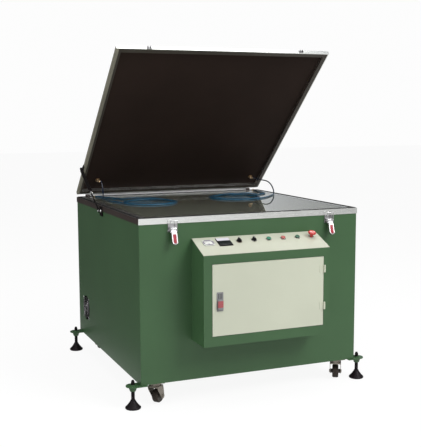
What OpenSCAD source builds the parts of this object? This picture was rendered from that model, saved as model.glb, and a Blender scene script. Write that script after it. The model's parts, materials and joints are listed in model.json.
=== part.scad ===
// Screen printing exposure unit: a sheet-steel cabinet with a glass table, a hinged vacuum
// lid with a rubber blanket, and a control box on the front. Millimetres, +Z up.
// The origin is on the floor, below the middle of the whole outline; the front faces -Y.

/* [Cabinet] */
// Width of the table top
body_w = 1300; // [1280:5:1330]
// Depth of the table top
body_d = 1300; // [1285:5:1330]
// Height of the table top above the floor
table_h = 1005; // [985:5:1030]
// Height of the cabinet's underside above the floor
under_h = 125; // [122:1:132]
// Thickness of the cabinet sheet
sheet_t = 2; // [1.5:0.5:2.5]
// Width of the rim's flat top leg
rim_w = 50; // [48:1:54]
// Height of the rim's upright leg
rim_h = 32; // [28:1:36]
// Thickness of the rim
rim_t = 3; // [2.5:0.5:3.5]
// Side of the square corner posts
post_w = 40; // [34:1:44]
// Wall of the corner posts
post_t = 3; // [2:0.5:4]
// Height of the frame that carries the glass
glass_frame_h = 40; // [36:1:44]

/* [Table glass] */
// Thickness of the glass
glass_t = 10; // [8:1:12]
// Gap between the glass and the rim
glass_gap = 1; // [0.5:0.5:2]
// Width of the step that the glass lies on
glass_step = 15; // [12:1:18]
// Width of the sponge seal
seal_w = 12; // [10:1:14]
// Thickness of the sponge seal
seal_t = 3; // [2.5:0.5:3]

/* [Lid] */
// Opening angle of the lid at rest
lid_open = 42; // [38:1:44]
// Width of the lid frame's tube
lid_bar_w = 30; // [28:1:32]
// Height of the lid frame's tube
lid_bar_h = 20; // [19:1:22]
// Wall of the lid frame's tube
lid_bar_t = 2; // [1.5:0.5:2.5]
// Thickness of the rubber blanket
blanket_t = 2.5; // [2:0.5:3]
// Width of the clamp strips round the blanket
clamp_w = 25; // [22:1:27]
// Thickness of the clamp strips
clamp_t = 3; // [2:0.5:4]
// Screws along each clamp strip
clamp_screws_n = 7; // [5:1:9]

/* [Lid hinge] */
// Length of the hinge between its end brackets
hinge_len = 1120; // [1100:5:1130]
// Number of knuckles
hinge_knuckles = 20; // [16:2:24]
// Radius of the hinge barrel
hinge_r = 8; // [7.5:0.5:8.5]
// Radius of the hinge pin
hinge_pin_r = 3; // [2.5:0.5:3.5]
// Width of the end brackets
hinge_end_w = 26; // [20:1:30]
// Height of the hinge axis above the table
hinge_up = 6; // [5:0.5:7]

/* [Gas strut] */
// Distance from the hinge axis to the upper pivot, along the lid
strut_arm = 270; // [255:5:280]
// Lower pivot, behind the middle of the cabinet
strut_foot_y = 55; // [45:5:65]
// Lower pivot, below the table top
strut_foot_down = 30; // [26:1:34]
// Radius of the cylinder
strut_r = 10; // [9:0.5:10]
// Radius of the piston rod
strut_rod_r = 4; // [3:0.5:5]
// Travel of the rod
strut_stroke = 128; // [126:1:136]

/* [Latches] */
// Distance of each latch from the middle
latch_x = 465; // [450:5:490]
// Handle pivot below the table top
latch_down = 59; // [57:1:62]
// Handle pivot in front of the panel
latch_out = 17; // [16:0.5:18]
// Width of the handle grip
grip_w = 30; // [28:1:31]
// Radius of the hook bail's wire
bail_wire_r = 2.25; // [2:0.25:2.5]
// Bail pivot below the handle pivot
bail_down = 16; // [15:0.5:18]
// Angle at which the handles hang out from the panel
handle_rest = 18; // [10:1:24]

/* [Control box] */
// Width of the box
box_w = 736; // [726:2:756]
// Middle of the box, to the right of the cabinet's middle
box_x = 10; // [0:5:20]
// Depth of the box
box_d = 168; // [160:2:176]
// Front top edge below the table top
box_front_down = 186; // [182:1:190]
// Back top edge below the table top
box_back_down = 119; // [116:1:122]
// Underside below the table top
box_low_down = 665; // [655:5:675]
// Thickness of the sloped panel
panel_t = 2; // [1.5:0.5:3]
// Line of the switches, up the slope from its front edge
switch_line = 120; // [116:1:122]
// Radius of the switch bodies
switch_r = 11; // [10.5:0.5:12]
// Radius of the switch bezels
bezel_r = 16; // [15:0.5:17]
// Radius of the emergency stop's head
stop_r = 22; // [20:0.5:24]
// Travel of the push buttons
button_travel = 3; // [2:0.5:3.5]

/* [Door] */
// Width of the box's front left of the door
door_left = 48.5; // [44:0.5:56]
// Width of the box's front right of the door
door_right = 36; // [35:0.5:42]
// Height of the box's front above the door
door_above = 48; // [44:1:54]
// Height of the box's front below the door
door_below = 54; // [50:1:60]
// Gap round the door
door_gap = 2; // [1.5:0.5:3]
// Depth of the door's folded edges
door_fold = 13; // [10:1:15]
// Radius of the door hinge barrel
door_hinge_r = 5.5; // [5:0.5:6]
// Height of each door hinge
door_hinge_h = 40; // [36:1:44]

/* [Feet and castors] */
// Radius of each foot
foot_r = 42; // [38:1:44]
// Height of the foot's cone
foot_h = 48; // [44:1:52]
// Radius of the threaded stem
stem_r = 10; // [8:0.5:11]
// Foot centres outside the cabinet's sides
foot_out = 33; // [31:1:35]
// Foot centres inside the cabinet's front and back
foot_in = 30; // [28:1:34]
// Radius of the castor wheels
wheel_r = 38; // [36:1:39]
// Width of the castor wheels
wheel_w = 36; // [30:1:40]
// Front castor pivots from the middle, sideways
castor_x = 552; // [546:2:558]
// Rear castors from the middle, sideways
castor_rear_x = 530; // [520:2:540]
// Castor pivots from the middle, front to back
castor_y = 603; // [595:1:604]
// Distance of the wheel axle from the castor pivot
castor_trail = 24; // [22:1:26]

/* [Fan and hoses] */
// Radius of the fan opening
fan_r = 78; // [74:1:80]
// Fan behind the middle of the cabinet
fan_y = 470; // [450:5:480]
// Height of the fan above the floor
fan_z = 311; // [305:1:330]
// Radius of the vacuum hose
hose_r = 4; // [3.5:0.25:4.25]
// Step between the turns of the coiled hose
hose_pitch = 10; // [9.5:0.5:11]
// Outer radius of the coiled hose, on its centre line
coil_r = 166; // [160:1:170]

/* [Fits] */
// Clearance of a turning fit, on the radius
turn_fit = 0.05; // [0.03:0.01:0.08]
// Small gap between faces that move past each other
face_gap = 0.3; // [0.3:0.1:0.5]
// Gap between hinge knuckles
knuckle_gap = 0.6; // [0.4:0.1:1]

/* [Hidden] */
$fn = 48;

green = [0.25, 0.44, 0.29];
cream = [0.93, 0.93, 0.86];
alu = [0.78, 0.78, 0.77];
steel = [0.62, 0.63, 0.64];
chrome = [0.8, 0.82, 0.84];
black = [0.07, 0.07, 0.07];
red = [0.75, 0.1, 0.12];
blue = [0.05, 0.35, 0.55];

// The cabinet's sheets stand back from the rim's outer face by the rim's thickness
half_w = body_w / 2;
half_d = body_d / 2;
skin_x = half_w - rim_t;
skin_y = half_d - rim_t;
in_x = skin_x - sheet_t;
in_y = skin_y - sheet_t;
skin_top = table_h - rim_t;
glass_x = half_w - rim_w - glass_gap;
glass_y = half_d - rim_w - glass_gap;
frame_top = table_h - rim_t;
frame_low = frame_top - glass_frame_h;

// The furthest points in front and behind set the cabinet's place along Y
box_front = skin_y + box_d;
lock_out = 13;
gland_out = 25;
cab_y = (box_front + lock_out - (half_d + gland_out)) / 2;

// Lid, drawn closed and turned open about the hinge axis
hinge_y = half_d + 1 + hinge_r;
hinge_z = table_h + hinge_up;
lid_low = table_h + seal_t + face_gap;
lid_top = lid_low + lid_bar_h;
lid_back = half_d - 10;
lid_front = -half_d;
blanket_in = 8;
function lid_pt(x, y, z) = let (dy = y - hinge_y, dz = z - hinge_z)
  [x, hinge_y + dy * cos(lid_open) + dz * sin(lid_open),
    hinge_z - dy * sin(lid_open) + dz * cos(lid_open)];

// Gas strut, on the left of the cabinet
strut_x = -half_w - 14;
strut_pin_z = table_h - strut_foot_down;
strut_lid_z = 7.3;
strut_top = lid_pt(strut_x, hinge_y - strut_arm, hinge_z + strut_lid_z);
strut_foot = [strut_x, strut_foot_y, strut_pin_z];
strut_line = strut_top - strut_foot;
strut_len = norm(strut_line);
strut_body_len = strut_stroke + 151;
strut_low = strut_len - strut_body_len;
strut_angle = atan2(strut_line[2], strut_line[1]);
eye_r = 9;
eye_w = 10;

// Latches
latch_y = -skin_y - latch_out;
latch_z = table_h - latch_down;
bail_top = 57;
bail_half = grip_w / 2 + 4;
ear_t = 3;
lever_w = grip_w - 4.6;
bail_at = [-bail_down * sin(handle_rest), -bail_down * cos(handle_rest)];

// Control box and its sloped panel
box_top = table_h - box_front_down;
box_low = table_h - box_low_down;
slope = atan2(box_front_down - box_back_down, box_d);
slope_len = norm([box_d, box_front_down - box_back_down]);
box_l = box_x - box_w / 2;
box_r = box_x + box_w / 2;
first_switch = box_l + 248.5;
switch_pitch = (box_r - 53 - first_switch) / 5;
switch_xs = [for (i = [0:5]) first_switch + i * switch_pitch];
bezel_h = 3;
meter_x = box_l + 72;
display_x = box_l + 162;
meter_half = [32, 28];
display_half = 38;
socket_r = 8;

// Door, its hinges and its lock
door_l = box_l + door_left;
door_r = box_r - door_right;
door_top = box_top - door_above;
door_low = box_low + door_below;
door_axis_x = door_r + door_gap + 1.5;
door_axis_y = -box_front - door_hinge_r;
door_hinge_zs = [door_top - 66, door_low + 108];
lock_x = door_l + 41.5;
lock_w = 36;
lock_h = 100;
lock_low = door_top - 246;
lock_button_z = lock_low + 35;
lock_half = [15, 25];
lock_travel = 4;

// Feet, castors
stem_top = under_h + 28;
ear_z = under_h - 6;
boss_h = 26;
castor_top = under_h;
axle_z = 5 + wheel_r;
axle_r = 5;
kingpin_r = 6;
crown_z = under_h - 28.3;
crown_t = 8;
front_turns = [131, 149];

// Hoses: the centre line lies just above the glass, each route in round numbers
hose_z = table_h + face_gap + hose_r;
over_z = hose_z + 2 * hose_r + 1;
nozzle_lx = -533;
nozzle_rx = 558;
nozzle_ly = hinge_y - 141;
nozzle_ry = hinge_y - 122;
nozzle_z = lid_top - 13.5;
union_lx = -540;
union_rx = half_w - rim_w - 7;
union_y = half_d - rim_w + 5;
union_face = union_y - 8;
coil_lc = [-332, 106];
coil_rc = [263, 179];
coil_la = 180;
coil_ra = -60;
coil_lturn = 960;
coil_rturn = -935;
land_l = [-521, 466, hose_z];
land_r = [580, 262, hose_z];
run_l = [-0.1, -0.995, 0];
run_r = [-0.575, -0.818, 0];
way_in_l = [[-531, 366, hose_z], [-532, 270, hose_z], [-521, 210, hose_z], [-505, 156, hose_z]];
way_in_r = [[540, 205, hose_z], [500, 155, hose_z], [455, 106, hose_z], [405, 65, hose_z]];
way_out_l = [[-300, 249, over_z], [-345, 273, over_z], [-395, 308, over_z],
  [-430, 352, hose_z], [-458, 415, hose_z], [-484, 480, hose_z], [-520, 545, hose_z],
  [-537, 575, hose_z]];
way_out_r = [[320, 311, over_z], [365, 307, over_z], [415, 303, over_z],
  [465, 299, hose_z], [520, 304, hose_z], [556, 345, hose_z], [570, 410, hose_z],
  [576, 480, hose_z], [586, 545, hose_z], [592, 576, hose_z]];
drop_l = [[-507, 560, table_h + 93], [-503, 552, table_h + 66], [-505, 538, table_h + 40],
  [-511, 514, table_h + 19], [-518, 489, table_h + 7.5]];
drop_r = [[588, 566, table_h + 88], [600, 534, table_h + 82], [603, 490, table_h + 81],
  [603, 445, table_h + 81], [602, 400, table_h + 78], [601, 355, table_h + 66],
  [600, 320, table_h + 46], [598, 299, table_h + 26], [590, 279, table_h + 10]];

// Geometry helpers
module box(x0, x1, y0, y1, z0, z1) {
  translate([x0, y0, z0])
    cube([x1 - x0, y1 - y0, z1 - z0]);
}

module ring(ox, oy, w, z0, z1) {
  difference() {
    box(-ox, ox, -oy, oy, z0, z1);
    box(-ox + w, ox - w, -oy + w, oy - w, z0 - 1, z1 + 1);
  }
}

module rod_x(x0, x1, y, z, r) {
  translate([x0, y, z])
    rotate([0, 90, 0])
      cylinder(h = x1 - x0, r = r);
}

module rod_y(x, y0, y1, z, r) {
  translate([x, y0, z])
    rotate([-90, 0, 0])
      cylinder(h = y1 - y0, r = r);
}

module rod_z(x, y, z0, z1, r) {
  translate([x, y, z0])
    cylinder(h = z1 - z0, r = r);
}

module at_cabinet() {
  translate([0, cab_y, 0])
    children();
}

module at_lid() {
  translate([0, cab_y + hinge_y, hinge_z])
    rotate([-lid_open, 0, 0])
      translate([0, -hinge_y, -hinge_z])
        children();
}

module at_strut() {
  translate([strut_foot[0], strut_foot[1] + cab_y, strut_foot[2]])
    rotate([strut_angle, 0, 0])
      children();
}

module at_slope() {
  translate([0, cab_y - box_front, box_top])
    rotate([slope, 0, 0])
      children();
}

module corners(x, y) {
  for (sx = [-1, 1])
    for (sy = [-1, 1])
      translate([sx * x, sy * y, 0])
        children();
}

// A round tube swept along points, closed at both ends
function unit(v) = v / norm(v);
function tangent(p, i) =
  i == 0 ? unit(p[1] - p[0]) :
  i == len(p) - 1 ? unit(p[i] - p[i - 1]) :
  unit(unit(p[i + 1] - p[i]) + unit(p[i] - p[i - 1]));
function square_to(u, t) = unit(u - (u * t) * t);
function sides_of(p) = [for (i = 0, u = square_to([0.1, 0.2, 1], tangent(p, 0)); i < len(p);
  u = i + 1 < len(p) ? square_to(u, tangent(p, i + 1)) : u, i = i + 1) u];
function crom(a, b, c, d, t) = 0.5 * (2 * b + (c - a) * t + (2 * a - 5 * b + 4 * c - d) * t * t
  + (3 * b - a - 3 * c + d) * t * t * t);
function spline(p, n) = concat([for (i = [1:len(p) - 3]) for (k = [0:n - 1])
  crom(p[i - 1], p[i], p[i + 1], p[i + 2], k / n)], [p[len(p) - 2]]);
function drop_last(p) = [for (i = [0:len(p) - 2]) p[i]];

module tube(p, r, n) {
  u = sides_of(p);
  m = len(p);
  pts = [for (i = [0:m - 1]) let (t = tangent(p, i), v = cross(t, u[i]))
    for (j = [0:n - 1]) p[i] + r * cos(360 * j / n) * u[i] + r * sin(360 * j / n) * v];
  walls = [for (i = [0:m - 2]) for (j = [0:n - 1]) for (k = [0, 1])
    let (a = i * n + j, b = i * n + (j + 1) % n, c = (i + 1) * n + (j + 1) % n, d = (i + 1) * n + j)
    k == 0 ? [a, c, b] : [a, d, c]];
  ends = [for (j = [1:n - 2]) for (k = [0, 1])
    k == 0 ? [0, j, j + 1] : [(m - 1) * n, (m - 1) * n + j + 1, (m - 1) * n + j]];
  polyhedron(points = pts, faces = concat(walls, ends));
}

// A flat spiral that starts on the outer turn; its last part climbs over the turns outside it
function coil(c, a0, turn) = let (n = ceil(abs(turn) / 15)) [for (k = [0:n])
  let (a = a0 + turn * k / n, r = coil_r - hose_pitch * abs(turn) * k / n / 360,
    f = max(0, 1 - (n - k) / 3))
  [c[0] + r * cos(a), c[1] + r * sin(a), hose_z + (over_z - hose_z) * f]];
function laid_hose(land, run, way_in, turns, way_out, ux) = let (
    start = land + 8 * run,
    a = spline(concat([land - 20 * run, start], way_in, [turns[0], turns[1]]), 2),
    face = [ux, union_face, hose_z],
    b = spline(concat([turns[len(turns) - 2], turns[len(turns) - 1]], way_out,
      [face - [0, 8, 0], face + [0, 20, 0]]), 2))
  concat([land], drop_last(a), drop_last(turns), b, [face]);
coil_lp = coil(coil_lc, coil_la, coil_lturn);
coil_rp = coil(coil_rc, coil_ra, coil_rturn);
hose_lp = laid_hose(land_l, unit(run_l), way_in_l, coil_lp, way_out_l, union_lx);
hose_rp = laid_hose(land_r, unit(run_r), way_in_r, coil_rp, way_out_r, union_rx);

// A free lead runs from the nozzle's barb, sideways at first, down to the hose on the glass
function lead(nozzle, drop, land, run) = let (
    start = nozzle + [8, 0, 0],
    end = land - 8 * run)
  concat([nozzle], spline(concat([nozzle - [12, 0, 0], start], drop, [end, land + 12 * run]), 2),
    [land]);
barb_reach = 16;
nozzle_lp = lid_pt(nozzle_lx + barb_reach, nozzle_ly, nozzle_z);
nozzle_rp = lid_pt(nozzle_rx + barb_reach, nozzle_ry, nozzle_z);
lead_lp = lead(nozzle_lp, drop_l, land_l, unit(run_l));
lead_rp = lead(nozzle_rp, drop_r, land_r, unit(run_r));

// Least gap between stretches of one hose that are not neighbours along it
function finer(p) = [for (i = [0:len(p) - 2]) for (k = [0:3]) p[i] + (p[i + 1] - p[i]) * k / 4];
function least_gap(p) = let (q = finer(p))
  min([for (i = [0:len(q) - 13]) for (j = [i + 12:len(q) - 1]) norm(q[i] - q[j])]) - 2 * hose_r;

// Cabinet sheets
module front_panel() color(green) at_cabinet() difference() {
  box(-in_x, in_x, -skin_y, -in_y, under_h, skin_top);
  rod_y(box_x, -skin_y - 1, -in_y + 1, box_low + 90, 25);
}

module side_sheet(sx) {
  translate([sx > 0 ? in_x : -skin_x, -skin_y, under_h])
    cube([sheet_t, 2 * skin_y, skin_top - under_h]);
}

module left_side_panel() color(green) at_cabinet() difference() {
  side_sheet(-1);
  rod_x(-skin_x - 1, -in_x + 1, fan_y, fan_z, fan_r);
}

module right_side_panel() color(green) at_cabinet() {
  side_sheet(1);
}

module rear_panel() color(green) at_cabinet() difference() {
  union() {
    box(-in_x, in_x, in_y, skin_y, under_h, skin_top);
    for (i = [0:7])
      for (sx = [-1, 1])
        translate([sx * 330 - 92, skin_y, 250 + i * 30])
          rotate([90, 0, 90])
            linear_extrude(184)
              polygon([[-1, 0], [8, 0], [8, 4], [0, 19], [-1, 19]]);
  }
  for (i = [0:7])
    for (sx = [-1, 1])
      translate([sx * 330 - 90, skin_y, 250 + i * 30])
        rotate([90, 0, 90])
          linear_extrude(180)
            polygon([[-sheet_t - 1, -1], [6, -1], [6, 4], [0, 15.5], [-sheet_t - 1, 15.5]]);
  rod_y(420, in_y - 1, skin_y + 1, under_h + 60, 8);
}

// Bottom sheet with the ear and the threaded boss of each levelling foot
module bottom_pan() color(green) at_cabinet() difference() {
  union() {
    box(-in_x, in_x, -in_y, in_y, under_h, under_h + sheet_t);
    corners(half_w + foot_out, half_d - foot_in) {
      rod_z(0, 0, ear_z, under_h, 38);
      rod_z(0, 0, ear_z, under_h + 4, 17);
      translate([0, 0, ear_z - boss_h])
        cylinder(h = boss_h, r1 = stem_r + 5, r2 = stem_r + 15);
    }
    for (sx = [-1, 1])
      for (sy = [-1, 1])
        translate([sx * (half_w + foot_out / 2 - 20) - foot_out / 2 - 20,
            sy * (half_d - foot_in) - 38, ear_z])
          cube([foot_out + 40, 76, under_h - ear_z]);
  }
  corners(half_w + foot_out, half_d - foot_in)
    rod_z(0, 0, ear_z - boss_h - 1, under_h + 20, stem_r + turn_fit);
}

// Welded frame: four square posts under a folded ring with a step for the glass
module steel_frame() color(steel) at_cabinet() difference() {
  union() {
    corners(in_x - post_w / 2, in_y - post_w / 2) difference() {
      box(-post_w / 2, post_w / 2, -post_w / 2, post_w / 2, under_h + sheet_t, frame_low);
      box(-post_w / 2 + post_t, post_w / 2 - post_t, -post_w / 2 + post_t, post_w / 2 - post_t,
        under_h, frame_low + 1);
    }
    ring(in_x, in_y, in_x - step_x, frame_low, frame_low + 3);
    ring(step_x + 3, step_y + 3, 3, frame_low, table_h - glass_t);
    ring(riser_x + 3, riser_y + 3, riser_x + 3 - step_x, table_h - glass_t - 3, table_h - glass_t);
    ring(riser_x + 3, riser_y + 3, 3, table_h - glass_t - 3, frame_top);
    ring(in_x, in_y, in_x - riser_x, frame_top - 3, frame_top);
  }
  for (x = [union_lx, union_rx])
    rod_z(x, union_y, frame_low - 1, frame_top + 1, 4.3);
}
riser_x = glass_x + 2;
riser_y = glass_y + 2;
step_x = glass_x - glass_step + 1;
step_y = glass_y - glass_step + 1;

// Bright angle round the table top
module top_rim() color(alu) at_cabinet() difference() {
  union() {
    ring(half_w, half_d, rim_w, table_h - rim_t, table_h);
    ring(half_w, half_d, rim_t, table_h - rim_h, table_h);
  }
  for (x = [union_lx, union_rx])
    rod_z(x, union_y, table_h - rim_t - 1, table_h + 1, 3);
}

module table_glass() color([0.55, 0.62, 0.6]) at_cabinet() {
  box(-glass_x, glass_x, -glass_y, glass_y, table_h - glass_t, table_h);
}

module rim_gasket() color(black) at_cabinet() {
  ring(half_w - 6, half_d - 6, seal_w, table_h, table_h + seal_t);
}

// Lid hinge: knuckles take turns between the fixed leaf and the lid's leaf
knuckle_len = hinge_len / hinge_knuckles;
function knuckle_x(i) = -hinge_len / 2 + i * knuckle_len + knuckle_gap / 2;
knuckle_w = knuckle_len - knuckle_gap;

module hinge_base() color(steel) at_cabinet() {
  difference() {
    union() {
      box(-hinge_len / 2, hinge_len / 2, half_d, half_d + 2.5, table_h - rim_h, table_h - 3);
      for (i = [0:2:hinge_knuckles - 1]) {
        box(knuckle_x(i), knuckle_x(i) + knuckle_w, half_d, half_d + 2.5, table_h - 4, hinge_z);
        rod_x(knuckle_x(i), knuckle_x(i) + knuckle_w, hinge_y, hinge_z, hinge_r);
      }
      for (sx = [-1, 1])
        translate([sx > 0 ? hinge_len / 2 + 2 : -hinge_len / 2 - 2 - hinge_end_w, 0, 0]) {
          box(0, hinge_end_w, half_d, hinge_y + hinge_r, table_h - rim_h, hinge_z);
          rod_x(0, hinge_end_w, hinge_y, hinge_z, hinge_r);
        }
    }
    rod_x(-hinge_len, hinge_len, hinge_y, hinge_z, hinge_pin_r);
  }
  rod_x(-hinge_len / 2 - 2 - hinge_end_w, hinge_len / 2 + 2 + hinge_end_w, hinge_y, hinge_z,
    hinge_pin_r);
}

module hinge_lid_leaf() color(steel) at_lid() difference() {
  union() {
    box(-hinge_len / 2, hinge_len / 2, lid_back, lid_back + 2.5, lid_low, lid_top);
    box(-hinge_len / 2, hinge_len / 2, lid_back, half_d - 0.5, hinge_z - 1.25, hinge_z + 1.25);
    for (i = [1:2:hinge_knuckles - 1]) {
      box(knuckle_x(i), knuckle_x(i) + knuckle_w, lid_back, hinge_y - hinge_pin_r - 1,
        hinge_z - 1.25, hinge_z + 1.25);
      rod_x(knuckle_x(i), knuckle_x(i) + knuckle_w, hinge_y, hinge_z, hinge_r);
    }
  }
  rod_x(-hinge_len, hinge_len, hinge_y, hinge_z, hinge_pin_r + turn_fit);
}

// Lid frame of rectangular tube; the screw holes open into the tube
function screw_spots(half, n) = [for (i = [0:n - 1]) -half + 2 * half * (i + 0.5) / n];
lid_mid = (lid_front + lid_back) / 2;
lid_half = (lid_back - lid_front) / 2;
module clamp_spots() {
  for (p = screw_spots(half_w - lid_bar_w, clamp_screws_n))
    for (sy = [-1, 1])
      translate([p, lid_mid + sy * (lid_half - lid_bar_w / 2 - 1), 0])
        children();
  for (p = screw_spots(lid_half - lid_bar_w, clamp_screws_n))
    for (sx = [-1, 1])
      translate([sx * (half_w - lid_bar_w / 2 - 1), lid_mid + p, 0])
        children();
}

module lid_frame() color(alu) at_lid() difference() {
  translate([0, lid_mid, 0]) difference() {
    ring(half_w, lid_half, lid_bar_w, lid_low, lid_top);
    ring(half_w - lid_bar_t, lid_half - lid_bar_t, lid_bar_w - 2 * lid_bar_t,
      lid_low + lid_bar_t, lid_top - lid_bar_t);
  }
  clamp_spots()
    rod_z(0, 0, lid_top - lid_bar_t - 1, lid_top + 1, 2.6);
}

module rubber_blanket() color([0.13, 0.1, 0.08]) at_lid() difference() {
  translate([0, lid_mid, 0])
    box(-half_w + blanket_in, half_w - blanket_in, -lid_half + blanket_in, lid_half - blanket_in,
      lid_top, lid_top + blanket_t);
  clamp_spots()
    rod_z(0, 0, lid_top - 1, lid_top + blanket_t + 1, 2.6);
}

// Clamp strips with their screws
module blanket_clamps() color(alu) at_lid() {
  difference() {
    translate([0, lid_mid, 0])
      ring(half_w - 3.5, lid_half - 3.5, clamp_w, lid_top + blanket_t,
        lid_top + blanket_t + clamp_t);
    clamp_spots()
      rod_z(0, 0, lid_top, lid_top + 20, 2.5);
  }
  clamp_spots() {
    rod_z(0, 0, lid_top - lid_bar_t - 3, lid_top + blanket_t + clamp_t, 2.5);
    rod_z(0, 0, lid_top + blanket_t + clamp_t, lid_top + blanket_t + clamp_t + 2.5, 4.5);
  }
}

// Elbows under the blanket that take the hoses
module vacuum_nozzles() color([0.62, 0.47, 0.3]) at_lid() {
  for (n = [[nozzle_lx, nozzle_ly], [nozzle_rx, nozzle_ry]]) {
    rod_z(n[0], n[1], lid_top - 3, lid_top, 15);
    rod_z(n[0], n[1], nozzle_z - 2, lid_top - 3, 6.5);
    rod_x(n[0] - 6.5, n[0] + barb_reach, n[1], nozzle_z, min(3.9, hose_r));
  }
}

module latch_keepers() color(chrome) at_lid() {
  for (sx = [-1, 1])
    translate([sx * latch_x, lid_front, lid_low]) {
      box(-14, 14, -2, 0, 1, lid_bar_h - 1);
      for (s = [-1, 1])
        box(s * 8 - 1.5, s * 8 + 1.5, -12, -2, 2, 15);
    }
}

// Gas strut and its two brackets
module strut_base_bracket() color(black) at_cabinet() {
  box(-half_w - 4, -half_w, strut_foot_y - 25, strut_foot_y + 25, strut_pin_z - 30,
    strut_pin_z + 24);
  box(-half_w, -skin_x, strut_foot_y - 25, strut_foot_y + 25, strut_pin_z - 30,
    table_h - rim_h);
  rod_x(strut_x - eye_w / 2 - 4, -half_w, strut_foot_y, strut_pin_z, 4);
  rod_x(strut_x + eye_w / 2 + face_gap, -half_w - 4, strut_foot_y, strut_pin_z, 7);
  rod_x(strut_x - eye_w / 2 - 4, strut_x - eye_w / 2 - face_gap, strut_foot_y, strut_pin_z, 6.5);
}

module strut_lid_bracket() color(black) at_lid() {
  translate([-half_w - 4, hinge_y - strut_arm, hinge_z + strut_lid_z]) {
    box(0, 4, -30, 30, lid_low - hinge_z - strut_lid_z, lid_top - hinge_z - strut_lid_z);
    rod_x(0, 4, 0, 0, 15);
  }
}

// The rod turns on the cabinet's pin and the cylinder, with its stub at the lid, slides on it
module strut_rod() color(chrome) at_strut() difference() {
  union() {
    rod_x(-eye_w / 2, eye_w / 2, 0, 0, eye_r);
    rod_y(0, eye_r - 1, 24, 0, eye_w / 2);
    rod_y(0, 20, strut_low + 27, 0, strut_rod_r);
    rod_y(0, strut_low + 15, strut_low + 27, 0, strut_r - 1.5 - turn_fit);
  }
  rod_x(-eye_w, eye_w, 0, 0, 4 + turn_fit);
}

module strut_cylinder() color(black) at_strut() {
  difference() {
    union() {
      rod_y(0, strut_low, strut_len - 22, 0, strut_r);
      rod_y(0, strut_len - 30, strut_len - 6, 0, 6);
    }
    rod_y(0, strut_low + 14, strut_len - 30, 0, strut_r - 1.5);
    rod_y(0, strut_low - 1, strut_low + 15, 0, strut_rod_r + turn_fit);
  }
  rod_x(-eye_w / 2, eye_w / 2, strut_len, 0, eye_r);
  rod_x(0, -half_w - 4 - face_gap - strut_x, strut_len, 0, 5);
}

// Latches: base plate with two ears and a pin, a hanging handle, and a wire bail
module latch_bases() color(chrome) at_cabinet() {
  for (sx = [-1, 1])
    translate([sx * latch_x, 0, latch_z]) {
      box(-grip_w / 2 - 10, grip_w / 2 + 10, -skin_y - 3, -skin_y, -16, latch_down - rim_h - 1);
      for (s = [-1, 1])
        translate([s > 0 ? lever_w / 2 + face_gap : -lever_w / 2 - face_gap - ear_t, 0, 0]) {
          box(0, ear_t, latch_y, -skin_y - 3, -8, 8);
          rod_x(0, ear_t, latch_y, 0, 8);
        }
      rod_x(-lever_w / 2 - ear_t - 1, lever_w / 2 + ear_t + 1, latch_y, 0, 3);
    }
}

module latch_lever(sx) {
  at_cabinet() translate([sx * latch_x, latch_y, latch_z]) rotate([-handle_rest, 0, 0]) {
    color(chrome) difference() {
      union() {
        rod_x(-lever_w / 2, lever_w / 2, 0, 0, 7.5);
        box(-lever_w / 2, lever_w / 2, -5, 4, -bail_down - 6, 0);
        box(-lever_w / 2 + 3, lever_w / 2 - 3, -4, 3, -66, -bail_down);
      }
      rod_x(-grip_w, grip_w, 0, 0, 3 + turn_fit);
      rod_x(-grip_w, grip_w, 0, -bail_down, bail_wire_r + turn_fit);
    }
    color(red) difference() {
      union() {
        box(-grip_w / 2, grip_w / 2, -8, 6, -84 + grip_w / 2, -bail_down - 6);
        rod_y(0, -8, 6, -84 + grip_w / 2, grip_w / 2);
      }
      box(-lever_w / 2 + 3, lever_w / 2 - 3, -4, 3, -66, 0);
      box(-grip_w / 2 + 6, grip_w / 2 - 6, -9, -6, -72, -bail_down - 14);
    }
  }
}

module latch_lever_left() latch_lever(-1);
module latch_lever_right() latch_lever(1);

module latch_bail(sx) {
  color(chrome) at_cabinet()
      translate([sx * latch_x, latch_y + bail_at[0], latch_z + bail_at[1]]) {
    for (z = [0, bail_top])
      rod_x(-bail_half, bail_half, 0, z, bail_wire_r);
    for (s = [-1, 1]) {
      rod_z(s * bail_half, 0, 0, bail_top, bail_wire_r);
      for (z = [0, bail_top])
        translate([s * bail_half, 0, z])
          sphere(r = bail_wire_r);
    }
  }
}

module latch_bail_left() latch_bail(-1);
module latch_bail_right() latch_bail(1);

// Control box: open to the cabinet behind, with a door opening and an opening under the panel
function slope_z(y, drop) = box_top + (y + box_front) * tan(slope) - drop / cos(slope);

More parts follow.
